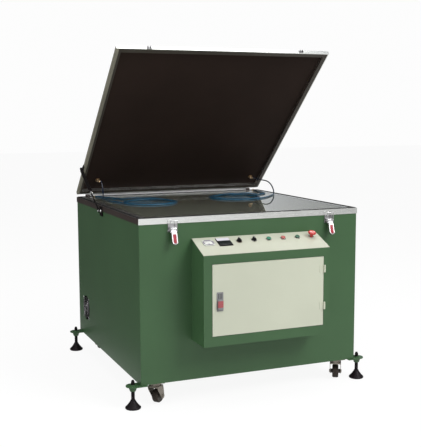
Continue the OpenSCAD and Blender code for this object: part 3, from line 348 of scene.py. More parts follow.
def grown(name, tree, keys, values, carrier):
    # The tree's result on the carrier mesh, turned into a plain mesh of its own
    host = shown(name + "_host", carrier)
    mod = host.modifiers.new("grow", "NODES")
    mod.node_group = tree
    for label, value in values.items():
        mod[keys[label]] = value
    bpy.context.view_layer.update()
    mesh = bpy.data.meshes.new_from_object(host.evaluated_get(
        bpy.context.evaluated_depsgraph_get()))
    host.modifiers.remove(mod)
    bpy.data.objects.remove(host)
    mesh.name = name
    for p in mesh.polygons:
        p.use_smooth = True
    mesh.set_sharp_from_angle(angle=math.radians(40))
    return shown(name, mesh)


def screw_tree(name, head_mat, recess_shade_mat):
    # A low dome with a cross of two painted-shade bars sunk in it, on each point and facing its way
    tree, given, result, keys = node_tree(name, [
        ("Head radius", "Float"), ("Head height", "Float")])
    radius, height = given["Head radius"], given["Head height"]
    dome = added(tree, "GeometryNodeMeshUVSphere", {"Segments": 16, "Rings": 8})
    flat = added(tree, "ShaderNodeCombineXYZ", {"X": 1.0, "Y": 1.0})
    squash = added(tree, "GeometryNodeTransform")
    head = added(tree, "GeometryNodeSetMaterial", {"Material": head_mat})
    join = added(tree, "GeometryNodeJoinGeometry")
    wired(tree, (radius, dome.inputs["Radius"]), (dome.outputs["Mesh"], squash.inputs["Geometry"]),
          (worked_out(tree, "DIVIDE", height, radius), flat.inputs["Z"]),
          (flat.outputs[0], squash.inputs["Scale"]),
          (squash.outputs[0], head.inputs["Geometry"]), (head.outputs[0], join.inputs[0]))
    for long_x, long_y in ((1.1, 0.26), (0.26, 1.1)):
        bar = added(tree, "GeometryNodeMeshCube")
        lift = added(tree, "GeometryNodeTransform")
        dark = added(tree, "GeometryNodeSetMaterial", {"Material": recess_shade_mat})
        for shares, whole, socket in (((long_x, long_y, 0.3), radius, bar.inputs["Size"]),
                                      ((0, 0, 0.84), height, lift.inputs["Translation"])):
            share = added(tree, "ShaderNodeVectorMath", {0: shares})
            share.operation = "SCALE"
            wired(tree, (whole, share.inputs["Scale"]), (share.outputs[0], socket))
        wired(tree, (bar.outputs["Mesh"], lift.inputs["Geometry"]),
              (lift.outputs[0], dark.inputs["Geometry"]), (dark.outputs[0], join.inputs[0]))
    facing = added(tree, "GeometryNodeInputNamedAttribute", {"Name": "facing"})
    facing.data_type = "FLOAT_VECTOR"
    turn = added(tree, "FunctionNodeAlignRotationToVector")
    turn.axis = "Z"
    on = added(tree, "GeometryNodeInstanceOnPoints")
    real = added(tree, "GeometryNodeRealizeInstances")
    wired(tree, (facing.outputs["Attribute"], turn.inputs["Vector"]),
          (turn.outputs["Rotation"], on.inputs["Rotation"]),
          (given["Geometry"], on.inputs["Points"]), (join.outputs[0], on.inputs["Instance"]),
          (on.outputs[0], real.inputs[0]), (real.outputs[0], result))
    return tree, keys


def screws(name, spots, facing, body, head, height, tree_keys):
    points = bpy.data.meshes.new(name)
    points.from_pydata([tuple(p) for p in spots], [], [])
    turn = points.attributes.new("facing", "FLOAT_VECTOR", "POINT")
    for item in turn.data:
        item.vector = facing
    obj = grown(name, *tree_keys, {"Head radius": head, "Head height": height}, points)
    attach(obj, body)


zinc_screw = screw_tree("zinc_screw", zinc, recess_painted_shade)
rear_face, rear_side = cabinet_y + 0.647, 0.61
rear_low, rear_high = 0.145, 0.985
rows = [(-rear_side + 2 * rear_side * i / 7, z) for i in range(8) for z in (rear_low, rear_high)]
rows += [(x, rear_low + (rear_high - rear_low) * i / 5)
         for x in (-rear_side, rear_side) for i in range(1, 5)]
screws("rear_sheet_screws", [(x, rear_face, z) for x, z in rows], (0, 1, 0), "cabinet",
       0.0045, 0.0022, zinc_screw)

# Castors: pressed steel forks in a dull zinc of dark brownish grey, on plates under the four
# corners. The front pair swivels, and the wheels are dark rubber on grey plastic centres.
dull_zinc = plated("dull_zinc", (0.24, 0.215, 0.18), 0.46, metallic=0.55)
tyre = moulding_grain("castor_tyre_rubber", (0.045, 0.036, 0.030), 0.6, coat=0.0, specular=0.15)
centre_grey = moulding_grain("castor_centre_plastic", (0.065, 0.055, 0.045), 0.5, coat=0.0,
                             specular=0.3)
centre_r = 0.0296
eased("castor_mounts", [dull_zinc])
for hand in ("left", "right"):
    eased("castor_fork_" + hand, [dull_zinc])
for place in ("front_left", "front_right", "rear_left", "rear_right"):
    node = "castor_wheel_" + place
    joint = next(j for j in frame["joints"] if j["child"] == node)
    axle, turn = Vector(joint["pos_m"]), Vector(joint["axis"]).normalized()

    def tyre_or_centre(c, n, axle=axle, turn=turn):
        out = c - axle
        return 0 if (out - out.dot(turn) * turn).length > centre_r else 1

    eased(node, [tyre, centre_grey], edge=0.0008, pick=tyre_or_centre)

# Levelling feet: a turned bell of black steel on a threaded stem, with a black coat. The
# thread is rolled, 2 mm a turn, and runs through the boss of the ear.
black_coat = paint("black_stem_coat", (0.010, 0.007, 0.008), 0.5, depth=0.06, specular=0.16)
thread_tree, given, result, thread_keys = node_tree("rolled_thread", [
    ("Turns", "Float"), ("Radius", "Float"), ("Height", "Float"), ("Ridge", "Float")])
helix = added(thread_tree, "GeometryNodeCurveSpiral", {"Resolution": 20})
ridge = added(thread_tree, "GeometryNodeCurvePrimitiveCircle", {"Resolution": 5})
sweep = added(thread_tree, "GeometryNodeCurveToMesh", {"Fill Caps": True})
wired(thread_tree, (given["Turns"], helix.inputs["Rotations"]),
      (given["Radius"], helix.inputs["Start Radius"]),
      (given["Radius"], helix.inputs["End Radius"]),
      (given["Height"], helix.inputs["Height"]),
      (given["Ridge"], ridge.inputs["Radius"]),
      (helix.outputs["Curve"], sweep.inputs["Curve"]),
      (ridge.outputs["Curve"], sweep.inputs["Profile Curve"]))


def planted(tree, given, result, shape, mat):
    # The shape stands on each point of the carrier, as plain geometry of one finish
    on = added(tree, "GeometryNodeInstanceOnPoints")
    real = added(tree, "GeometryNodeRealizeInstances")
    coat = added(tree, "GeometryNodeSetMaterial", {"Material": mat})
    wired(tree, (given["Geometry"], on.inputs["Points"]), (shape, on.inputs["Instance"]),
          (on.outputs[0], real.inputs[0]), (real.outputs[0], coat.inputs[0]),
          (coat.outputs[0], result))


def seat_at(name, point):
    seat = bpy.data.meshes.new(name)
    seat.from_pydata([point], [], [])
    return seat


def skinned(bm, rings):
    # Faces between each ring of corners and the next one; a ring of one corner is a closed end
    for low, high in zip(rings, rings[1:]):
        count = max(len(low), len(high))
        for k in range(count):
            j = (k + 1) % count
            if len(low) == 1:
                bm.faces.new((low[0], high[j], high[k]))
            elif len(high) == 1:
                bm.faces.new((low[k], low[j], high[0]))
            else:
                bm.faces.new((low[k], low[j], high[j], high[k]))


def turned(bm, outline, centre, steps=48):
    # A closed solid of revolution; the outline is (radius, height) from the bottom up
    axis = Vector((0, 0, 1))
    side = axis.orthogonal().normalized()
    front = axis.cross(side)
    rings = []
    for r, h in outline:
        count = 1 if r < 1e-6 else steps
        rings.append([bm.verts.new(centre + axis * h
                                   + r * math.cos(2 * math.pi * k / steps) * side
                                   + r * math.sin(2 * math.pi * k / steps) * front)
                      for k in range(count)])
    skinned(bm, rings)


planted(thread_tree, given, result, sweep.outputs["Mesh"], black_coat)
foot_x, foot_y = 0.683, 0.62
thread_low, thread_long, turns = 0.050, 0.0955, 48.0
stem_r, ridge_r = 0.009, 0.00095
bell = [(0, 0), (0.0395, 0), (0.0405, 0.0008), (0.042, 0.0035), (0.042, 0.0076),
        (0.0413, 0.009), (0.0368, 0.0132), (0.030, 0.0205), (0.0222, 0.0305),
        (0.0162, 0.0395), (0.0138, 0.0445), (0.0128, 0.0474), (0.0112, 0.048),
        (0.009, 0.0482), (0.009, 0.146), (0.0074, 0.1476), (0.007, 0.148),
        (0.007, 0.1525), (0.0062, 0.153), (0, 0.153)]
for place, sx, sy in (("front_left", -1, -1), ("front_right", 1, -1),
                      ("rear_left", -1, 1), ("rear_right", 1, 1)):
    node = "levelling_foot_" + place
    centre = Vector((sx * foot_x, cabinet_y + sy * foot_y, 0))
    bm = bmesh.new()
    turned(bm, bell, centre)
    fix_on(into_piece("levelling_foot_bell_" + place, bm, [black_coat], keep=28), node)
    thread = grown("levelling_foot_thread_" + place, thread_tree, thread_keys,
                   {"Turns": turns, "Radius": stem_r, "Height": thread_long, "Ridge": ridge_r},
                   seat_at("stem_seat", centre + Vector((0, 0, thread_low))))
    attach(thread, rides_on[node])

# Fan: a black moulded frame with a six-blade rotor behind the left sheet. Outside it a guard
# of bright wire rings is held by four lugs.
fan_black = moulding_grain("fan_black_plastic", (0.016, 0.015, 0.016), 0.4)
wire = plated("guard_wire", (0.62, 0.60, 0.62), 0.2)
guard_x = -0.6471
eased("fan_housing", [fan_black, wire], edge=0.0004,
      pick=lambda c, n: 1 if c.x < guard_x else 0)
eased("fan_rotor", [fan_black], edge=0.0004)

# Exposure lamp: a bright rolled trough on four legs with a quartz tube at its focus, between
# two ceramic holders.
mirror_sheet = plated("reflector_sheet", (0.78, 0.79, 0.80), 0.12)
ceramic = paint("lamp_holder_ceramic", (0.72, 0.70, 0.64), 0.55)
eased("lamp_reflector", [mirror_sheet], edge=0)
quartz = grained(shader("quartz_tube", 0.08, coat=0.4), (0.62, 0.66, 0.70), 0.1, 0.06, 30.0,
                 200.0, 0.02)
tube_half = 0.1505
eased("uv_lamp", [quartz, ceramic], pick=lambda c, n: 1 if abs(c.x) > tube_half else 0)

# Vacuum pump: a cast housing in blue-grey paint on a steel foot, with a bright motor end and
# copper pipe to the two brass unions beside the glass.
pump_blue = paint("pump_paint_coat", (0.10, 0.12, 0.15), 0.42)
copper = plated("copper_pipe", (0.62, 0.30, 0.18), 0.25)
union_brass = plated("union_brass", (0.58, 0.44, 0.24), 0.28)
union_low, pump_high, pump_left = 0.985, 0.33, 0.22


def pump_finish(c, n):
    if c.z > union_low:
        return 2
    return 1 if c.z > pump_high or c.x < pump_left else 0


eased("vacuum_pump", [pump_blue, copper, union_brass], edge=0.0005, pick=pump_finish)
fin_tree, given, result, fin_keys = node_tree("cooling_fins", [
    ("Count", "Int"), ("Length", "Float"), ("Radius", "Float"), ("Thickness", "Float")])
row = added(fin_tree, "GeometryNodeMeshLine")
row.mode = "END_POINTS"
reach = added(fin_tree, "ShaderNodeCombineXYZ")
disc = added(fin_tree, "GeometryNodeMeshCylinder", {"Vertices": 40})
upright = added(fin_tree, "GeometryNodeTransform", {"Rotation": (0, math.pi / 2, 0)})
fins_on = added(fin_tree, "GeometryNodeInstanceOnPoints")
wired(fin_tree, (given["Count"], row.inputs["Count"]),
      (given["Length"], reach.inputs["X"]), (reach.outputs[0], row.inputs["Offset"]),
      (given["Radius"], disc.inputs["Radius"]),
      (given["Thickness"], disc.inputs["Depth"]),
      (disc.outputs["Mesh"], upright.inputs["Geometry"]),
      (row.outputs["Mesh"], fins_on.inputs["Points"]),
      (upright.outputs[0], fins_on.inputs["Instance"]))
planted(fin_tree, given, result, fins_on.outputs[0], pump_blue)
fins = grown("pump_cooling_fins", fin_tree, fin_keys,
             {"Count": 15, "Length": 0.165, "Radius": 0.0712, "Thickness": 0.0024},
             seat_at("fin_seat", (0.262, cabinet_y + 0.400, 0.219)))
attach(fins, "cabinet")

# Electrical gear: contactors, breakers, terminals and a transformer on a zinc plate behind
# the door, with the ballast on the floor and the cable gland at the back.
gear_dark = moulding_grain("contactor_plastic", (0.05, 0.05, 0.052), 0.45)
gear_pale = moulding_grain("breaker_plastic", (0.55, 0.56, 0.55), 0.42)
terminal = moulding_grain("terminal_plastic", (0.30, 0.31, 0.26), 0.5)
core_steel = plated("transformer_core", (0.25, 0.24, 0.23), 0.5)
near_sheets, plate_face = 0.6, -0.6555
upper_row, contactors_end, terminals_end = 0.585, -0.11, 0.06


def gear_finish(c, n):
    y = c.y - cabinet_y
    if y > -near_sheets:
        return 1 if y > near_sheets else 4
    if y > plate_face:
        return 0
    if c.z > upper_row:
        return 1 if c.x < contactors_end else 2
    return 3 if c.x < terminals_end else 4


eased("electrical_gear", [zinc, gear_dark, gear_pale, terminal, core_steel], edge=0.0008,
      pick=gear_finish)

# Table top: an angle of brushed aluminium round the glass, mitred at the corners. The glass
# is a 10 mm float sheet, flush with the angle, and a black sponge strip seals the lid.
rim_x = brushed("rim_brushed_across", (0.88, 0.89, 0.86), 0.27, "x")
rim_y = brushed("rim_brushed_back", (0.88, 0.89, 0.86), 0.27, "y")
# The left leg of the angle and its outer face at the left end get painted shade: a dark brown for the shade and
# dark reflection on that side
left_leg_painted_shade = paint("rim_left_painted_shade", (0.050, 0.036, 0.032), 0.45, shade=0.12, depth=0.05,
                 specular=0.3)
half_w = 0.650


def by_leg(c, n):
    return 0 if abs(c.y - cabinet_y) - abs(c.x) > 0 else 1


def rim_finish(c, n):
    # Faces of the left leg, and the outer face at the left end, take the painted shade
    left_leg = c.x < 0 and by_leg(c, n) == 1
    return 2 if left_leg or (n.x < -0.9 and c.x < 0.001 - half_w) else by_leg(c, n)


eased("top_rim", [rim_x, rim_y, left_leg_painted_shade], edge=0.0012, pick=rim_finish)
sponge = moulding_grain("sponge_strip", (0.016, 0.015, 0.015), 0.85, coat=0.0, specular=0.2)
eased("rim_gasket", [sponge], edge=0.0008)
glass, nt, b = shader("float_glass", 0.015)
b.inputs["Transmission Weight"].default_value = 0.86
b.inputs["IOR"].default_value = 1.52
b.inputs["Base Color"].default_value = (0.64, 0.66, 0.55, 1)
film = added(nt, "ShaderNodeTexNoise", {"Scale": 2.2, "Detail": 6.0})
haze = added(nt, "ShaderNodeMapRange", {"To Min": 0.0, "To Max": 0.035})
wired(nt, (added(nt, "ShaderNodeTexCoord").outputs["Object"], film.inputs["Vector"]),
      (film.outputs["Fac"], haze.inputs["Value"]),
      (haze.outputs["Result"], b.inputs["Roughness"]))
eased("table_glass", [glass], edge=0.0015)

# Lid hinge: two steel leaves with knuckles that take turns on one pin along the back, in a
# pale grey coat. The brackets at its ends are painted dark brown.
leaf_steel = paint("hinge_leaf_coat", (0.60, 0.60, 0.60), 0.42, shade=0.06, depth=0.05)
bracket_brown = paint("hinge_bracket_paint", (0.045, 0.026, 0.022), 0.45)
leaf_half = 0.5608
eased("hinge_base", [leaf_steel, bracket_brown], edge=0.0004,
      pick=lambda c, n: 1 if abs(c.x) > leaf_half else 0)
eased("hinge_lid_leaf", [leaf_steel], edge=0.0004)

# Lid frame: rectangular aluminium tube, brushed along each bar and welded at the corners.
# Its underside is dark, and the left bar carries the black bracket of the strut.
hinge = Vector((0.0, 0.659, 1.011))
lid_angle = math.radians(42.0)


def lid_place(x, y, z):
    dy, dz = y - hinge.y, z - hinge.z
    c, s = math.cos(lid_angle), math.sin(lid_angle)
    return Vector((x, hinge.y + dy * c + dz * s, hinge.z - dy * s + dz * c))


cabinet_mid = Vector((0, cabinet_y, 0))
lean = Vector((0, math.sin(lid_angle), math.cos(lid_angle)))
along_lid = Vector((0, math.cos(lid_angle), -math.sin(lid_angle)))
lid_low = table + 0.0033
lid_front, lid_back = -0.650, 0.640
lid_mid, lid_half = (lid_front + lid_back) / 2, (lid_back - lid_front) / 2
lid_centre = lid_place(0, lid_mid, lid_low + 0.010) + cabinet_mid
bar_w, bare, painted_reflection_edge = 0.030, 0.005, -0.634
# The left outer face of the frame and the left end of its underside get painted reflection: an olive paint in
# place of the bright aluminium
painted_reflection_olive = paint("lid_side_painted_reflection", (0.25, 0.24, 0.19), 0.45, shade=0.2, depth=0.05, specular=0.3)
underside_dark = paint("lid_underside_dark", (0.050, 0.043, 0.034), 0.5, shade=0.1, depth=0.05, specular=0.3)


def lid_finish(c, n):
    # Each bar is brushed along its own length; a bare edge of it shows round the dark underside
    inside = (abs(c.x) < half_w - bare
              and abs((c - lid_centre).dot(along_lid)) < lid_half - bare)
    under = n.dot(lean) < -0.7
    # The left outer face and the underside left of painted_reflection_edge take the painted reflection
    if (n.x < -0.9 and c.x < 0.001 - half_w) or (under and c.x < painted_reflection_edge):
        return 3
    if under and inside:
        return 2
    return 0 if abs(c.x) < half_w - bar_w - 0.0005 and n.x * n.x < 0.5 else 1


eased("lid_frame", [rim_x, rim_y, underside_dark, painted_reflection_olive], edge=0.001, pick=lid_finish,
      cuts=[((x, 0, 0), (1, 0, 0)) for x in (painted_reflection_edge, half_w - bare)]
      + [(lid_centre + s * (lid_half - bare) * along_lid, along_lid) for s in (-1, 1)])
strut_black = paint("strut_black_paint", (0.007, 0.005, 0.005), 0.5, depth=0.04, specular=0.12)
eased("strut_lid_bracket", [strut_black])

# Blanket: 2.5 mm black-brown rubber sheet, matt, pinched between the frame and the clamp
# strips. Its surface has the fine grain that the moulding cloth leaves.
rubber = grained(shader("blanket_rubber_sheet", 0.78, specular=0.08),
                 (0.027, 0.0175, 0.014), 0.78, 0.12, 2.4, 700.0, 0.06)
eased("rubber_blanket", [rubber], edge=0.0004)

# Clamp strips: four flat aluminium bars screwed down round the blanket, with a zinc pan-head
# screw in every hole of the tube under them.
screw_inset = bar_w / 2 + 0.001
clamp_high = lid_low + 0.0255


def spots(half):
    return [-half + 2 * half * (i + 0.5) / 7 for i in range(7)]


eased("blanket_clamps", [rim_x, rim_y], edge=0.0005, pick=by_leg)
on_strip = [(p, lid_mid + s * (lid_half - screw_inset))
            for p in spots(half_w - bar_w) for s in (-1, 1)]
on_strip += [(s * (half_w - screw_inset), lid_mid + p)
             for p in spots(lid_half - bar_w) for s in (-1, 1)]
screws("clamp_screws", [lid_place(x, y, clamp_high + 0.0012) + cabinet_mid
                        for x, y in on_strip], lean, "lid", 0.0049, 0.0022,
       zinc_screw)

# Under the blanket: two tan brass elbows that take the hoses, and the keepers of the latches,
# small dark plated ears on the front bar.
tan_brass = plated("elbow_brass", (0.50, 0.36, 0.22), 0.34)
eased("vacuum_nozzles", [tan_brass], edge=0.0005)
dark_plate = plated("dark_plated_steel", (0.24, 0.235, 0.24), 0.3)
eased("latch_keepers", [dark_plate], edge=0.0004)

# Gas strut: a dark metal rod that turns on the cabinet's pin and slides in a black cylinder,
# which hangs from the lid's bracket. The gland at the end of the cylinder is bright.
rod_dark = plated("rod_dark_metal", (0.040, 0.036, 0.036), 0.35)
pin_bright = plated("pin_bright", (0.75, 0.75, 0.74), 0.15)
pin_x = -0.6542
eased("strut_base_bracket", [strut_black, pin_bright], pick=lambda c, n: 1 if c.x < pin_x else 0)
body_points = [v.co for v in frame["nodes"]["strut_cylinder"].data.vertices]
low_end = min(body_points, key=lambda v: v.z).copy()
reach = (max(body_points, key=lambda v: v.z) - low_end).normalized()
gland = 0.012
eased("strut_cylinder", [strut_black, pin_bright],
      pick=lambda c, n: 1 if (c - low_end).dot(reach) < gland else 0,
      cuts=[(low_end + gland * reach, reach)])
eased("strut_rod", [rod_dark], edge=0.0004)

# Vacuum hoses: blue polyurethane tube of 8 mm. On each side one length lies coiled on the glass
# and runs to the union behind it, and a free lead climbs to the nozzle under the lid's blanket.
hose_r = 0.004
hose_z = table + 0.0043
over_z = hose_z + 0.009
coil_r, coil_step = 0.166, 0.010


def smooth_way(points, n):
    # A smooth line through all the points but the first and the last, which only lead it
    line = []
    for i in range(1, len(points) - 2):
        a, b, c, d = points[i - 1:i + 3]
        for k in range(n):
            t = k / n
            line.append(0.5 * (2 * b + (c - a) * t + (2 * a - 5 * b + 4 * c - d) * t * t
                               + (3 * b - a - 3 * c + d) * t * t * t))
    return line + [points[-2]]


def turns_of(centre, start, turn):
    # A flat spiral that closes in slowly and climbs over its own turns near its end
    n = math.ceil(abs(turn) / 15)
    line = []
    for k in range(n * 3 + 1):
        t = k / (n * 3)
        a = math.radians(start + turn * t)
        r = coil_r - coil_step * abs(turn) * t / 360
        climb = max(0.0, 1 - (n - n * t) / 3)
        line.append(Vector((centre[0] + r * math.cos(a), centre[1] + r * math.sin(a),
                            hose_z + (over_z - hose_z) * climb)))
    return line


def mm(points, low=hose_z):
    # Millimetres to metres; a height is above the table, and a point without one lies low
    return [Vector((x / 1000, y / 1000, table + z[0] / 1000 if z else low))
            for x, y, *z in points]


def tube_mesh(name, line, radius, sides):
    # A closed tube along the line; the turning frame is carried from ring to ring
    bm = bmesh.new()
    across, rings = Vector((0.1, 0.2, 1.0)), []
    for i, p in enumerate(line):
        before, after = [(line[j + 1] - line[j]).normalized()
                         for j in (max(i - 1, 0), min(i, len(line) - 2))]
        t = (before + after).normalized()
        across = (across - across.dot(t) * t).normalized()
        other = t.cross(across)
        rings.append([bm.verts.new(p + radius * (math.cos(2 * math.pi * j / sides) * across
                                                 + math.sin(2 * math.pi * j / sides) * other))
                      for j in range(sides)])
    skinned(bm, rings)
    for f in bm.faces:
        f.smooth = True
    bm.faces.new(list(reversed(rings[0])))
    bm.faces.new(rings[-1])
    mesh = bpy.data.meshes.new(name)
    bm.to_mesh(mesh)
    bm.free()
    return shown(name, mesh)


def hose_plastic(name, dark, light):
    # Glossy polyurethane with slow changes of shade along it
    middle = [(p + q) / 2 for p, q in zip(dark, light)]
    return grained(shader(name, 0.24, coat=0.2), middle, 0.24, 0.25, 16.0, 600.0, 0.03)


hose_blue = hose_plastic("blue_polyurethane", (0.008, 0.070, 0.14), (0.016, 0.11, 0.20))
# The free leads take a darker copy of the same blue
hose_darker_lead = hose_plastic("darker_lead_polyurethane", (0.004, 0.012, 0.035), (0.008, 0.020, 0.055))

union_y = 0.597
hose_plan = {
    "left": dict(
        land=(-521, 466), run=Vector((-0.1, -0.995, 0)), union=-0.540,
        way_in=[(-531, 366), (-532, 270), (-521, 210), (-505, 156)],
        turns=((-0.332, 0.106), 180, 960),
        high=[(-300, 249), (-345, 273), (-395, 308)],
        way_out=[(-430, 352), (-458, 415), (-484, 480), (-520, 545), (-537, 575)],
        nozzle=(-0.533 + 0.016, 0.659 - 0.141),
        drop=[(-507, 560, 93), (-503, 552, 66), (-505, 538, 40), (-511, 514, 19), (-518, 489, 7.5)],
    ),
    "right": dict(
        land=(580, 262), run=Vector((-0.575, -0.818, 0)), union=0.593,
        way_in=[(540, 205), (500, 155), (455, 106), (405, 65)],
        turns=((0.263, 0.179), -60, -935),
        high=[(320, 311), (365, 307), (415, 303)],
        way_out=[(465, 299), (520, 304), (556, 345), (570, 410), (576, 480), (586, 545),
                 (592, 576)],
        nozzle=(0.558 + 0.016, 0.659 - 0.122),
        drop=[(588, 566, 88), (600, 534, 82), (603, 490, 81), (603, 445, 81), (602, 400, 78),
              (601, 355, 66), (600, 320, 46), (598, 299, 26), (590, 279, 10)],
    ),
}
for hand, plan in hose_plan.items():
    run = plan["run"].normalized()
    land = mm([plan["land"]])[0]
    begin = land + 0.008 * run
    coil_line = turns_of(*plan["turns"])
    first = smooth_way([land - 0.02 * run, begin] + mm(plan["way_in"])
                       + [coil_line[0], coil_line[3]], 6)
    face = Vector((plan["union"], union_y, hose_z))
    last = smooth_way([coil_line[-4], coil_line[-1]] + mm(plan["high"], over_z)
                      + mm(plan["way_out"])
                      + [face - Vector((0, 0.008, 0)), face + Vector((0, 0.02, 0))], 6)
    line = [land] + first[:-1] + coil_line[:-1] + last + [face]
    line = [p + cabinet_mid for p in reversed(line)]
    hose = tube_mesh("coiled_hose_" + hand, line, hose_r, 14)
    hose.data.materials.append(hose_blue)
    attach(hose, "cabinet")
    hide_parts("hose_coil_" + hand)
    nozzle = lid_place(*plan["nozzle"], lid_low + 0.0065)
    lead_line = [nozzle] + smooth_way(
        [nozzle - Vector((0.012, 0, 0)), nozzle + Vector((0.008, 0, 0))] + mm(plan["drop"])
        + [land - 0.008 * run, land + 0.012 * run], 8) + [land]
    lead_line = [p + cabinet_mid for p in reversed(lead_line)]
    lead = tube_mesh("free_hose_" + hand, lead_line, hose_r, 14)
    lead.data.materials.append(hose_darker_lead)
    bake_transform(lead, "cabinet", "lid", start=lead_line[0], end=lead_line[-1])
    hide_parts("hose_lead_" + hand)

# Latches: chromed base plates with two ears, a lever whose red plastic insert sits in a pale
# rim, and a wire bail that catches the lid's keeper.
chrome = plated("latch_chrome", (0.50, 0.49, 0.50))
pale_rim = plated("lever_rim", (0.46, 0.43, 0.43), 0.36)
latch_red = moulding_grain("lever_red_plastic", (0.36, 0.006, 0.022), 0.34, specular=0.3)
lever_turn = Matrix.Rotation(math.radians(18), 4, "X")
pivot_x, pivot_y, pivot_z = 0.465, -0.664, 0.946
lever_top, tray_top, tray_half = -0.0215, -0.0292, 0.0096
tray_front, tray_back = -0.0079, -0.0052
insert_half, insert_top, insert_end = 0.0091, -0.0305, -0.0702
insert_outline = [(insert_half, insert_top), (-insert_half, insert_top)]
insert_outline += [(insert_half * math.cos(a), insert_end + 0.9 * insert_half * math.sin(a))
                   for a in [math.pi * (1 + k / 12) for k in range(13)]]


def rounded_off(bm, face, edge):
    bmesh.ops.bevel(bm, geom=face.edges[:], offset=edge, segments=3, profile=0.5,
                    affect="EDGES", clamp_overlap=True)


def plate(bm, outline, low, high, edge=0):
    # A flat plate of the given outline between two heights; an edge rounds off its upper rim
    rings = [[bm.verts.new((x, y, z)) for x, y in outline] for z in (low, high)]
    top = bm.faces.new(rings[1])
    bm.faces.new(list(reversed(rings[0])))
    skinned(bm, rings)
    if edge:
        rounded_off(bm, top, edge)
    return top


def placed(bm, place):
    bmesh.ops.transform(bm, matrix=place, verts=bm.verts)
    bmesh.ops.recalc_face_normals(bm, faces=bm.faces)


eased("latch_bases", [chrome])
for hand, sx in (("left", -1), ("right", 1)):
    pivot = Vector((sx * pivot_x, cabinet_y + pivot_y, pivot_z))

    def lever_finish(c, n, pivot=pivot):
        own = lever_turn @ (c - pivot)
        if own.z > lever_top:
            return 0
        tray = (abs(own.x) < tray_half and own.z < tray_top
                and tray_front < own.y < tray_back)
        return 2 if tray else 1

    eased("latch_lever_" + hand, [chrome, pale_rim, latch_red], edge=0.0007, pick=lever_finish)
    bm = bmesh.new()
    front = plate(bm, insert_outline, 0.0062, 0.0088)
    placed(bm, Matrix.Translation(pivot) @ lever_turn.inverted()
           @ Matrix.Rotation(math.radians(90), 4, "X"))
    rounded_off(bm, front, 0.0012)
    piece = into_piece("latch_insert_" + hand, bm, [latch_red])
    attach(piece, "latch_lever_" + hand)
    eased("latch_bail_" + hand, [chrome], edge=0)

# Control box: 2 mm steel in the same green coat, welded to the front sheet, open behind the
# door and under the sloped panel. The barrels of its hinge halves are cream, as the door is.
cream = paint("cream_powder_coat", (0.60, 0.625, 0.50), 0.34, shade=0.03, depth=0.08)
box_face, barrel_x = cabinet_y - 0.815, 0.3512
eased("control_box", [green, cream], edge=0.001,
      pick=lambda c, n: 1 if c.y < box_face - 0.0002 and c.x < barrel_x else 0,
      cuts=[((barrel_x, 0, 0), (1, 0, 0))])

# Sloped panel: a cream coated plate with holes for the meter, the timer and six switches.
# What follows is drawn in the panel's own plane: x to the right, s up the slope, h outwards.
panel_top = 0.002
slope_angle = math.atan2(0.067, 0.168)
on_slope = Matrix.Translation((0, box_face, 0.819)) @ Matrix.Rotation(slope_angle, 4, "X")
off_slope = on_slope.inverted()
panel_cream = paint("cream_panel_coat", (0.52, 0.53, 0.43), 0.4, shade=0.03, depth=0.06)
eased("control_panel", [panel_cream])


def rounded(cx, cy, half_x, half_y, radius, steps=6):
    # The outline of a rectangle with round corners, anticlockwise
    points = []
    for qx, qy, start in ((1, 1, 0), (-1, 1, 90), (-1, -1, 180), (1, -1, 270)):
        for k in range(steps + 1):
            a = math.radians(start + 90 * k / steps)
            points.append((cx + qx * (half_x - radius) + radius * math.cos(a),
                           cy + qy * (half_y - radius) + radius * math.sin(a)))
    return points


# Light meter: a pale case whose oval window has a raised lilac-grey ring. Its white dial has
# a scale of fine strokes and a needle on a pivot.
meter_case = moulding_grain("meter_case_plastic", (0.62, 0.63, 0.58), 0.32)
window_ring = moulding_grain("meter_window_ring", (0.27, 0.25, 0.29), 0.35)
dial_white = moulding_grain("dial_white", (0.80, 0.80, 0.78), 0.4, coat=0.3)
dial_ink = moulding_grain("dial_ink", (0.03, 0.03, 0.035), 0.5)
meter_x, line_s = -0.286, 0.120
case_half_x, case_half_s = 0.032, 0.028
dial_low, dial_level = panel_top + 0.0029, panel_top + 0.0031
brim, ring_high = panel_top + 0.005, panel_top + 0.006
outer = rounded(meter_x, line_s, case_half_x, case_half_s, 0.012, 8)
oval = []
for x, y in outer:
    a = math.atan2((y - line_s) / case_half_s, (x - meter_x) / case_half_x)
    oval.append((meter_x + 0.0262 * math.cos(a), line_s + 0.0222 * math.sin(a)))
bm = bmesh.new()
rings = []
for shape, h, inset in ((outer, panel_top, 0.0), (outer, panel_top + 0.0038, 0.0),
                        (outer, brim, 0.0012), (oval, brim, -0.003),
                        (oval, ring_high, -0.0024), (oval, ring_high, 0.0),
                        (oval, brim, 0.0006), (oval, panel_top + 0.003, 0.0006)):
    rings.append([])
    for x, y in shape:
        out = Vector((x - meter_x, y - line_s, 0))
        out -= out.normalized() * inset
        rings[-1].append(bm.verts.new(Vector((meter_x, line_s, h)) + out))
skinned(bm, rings)
bm.faces.new(rings[-1])
bm.faces.new(list(reversed(rings[0])))
plate(bm, rounded(meter_x, line_s, 0.0265, 0.0225, 0.004, 3), -0.030, panel_top)
placed(bm, on_slope)


def meter_finish(c, n):
    own = off_slope @ c
    up = (off_slope.to_3x3() @ n).z
    if dial_low < own.z < dial_level and up > 0.9:
        return 1
    out = math.hypot((own.x - meter_x) / 0.0292, (own.y - line_s) / 0.0252)
    return 2 if out < 1.0 and own.z > dial_low else 0


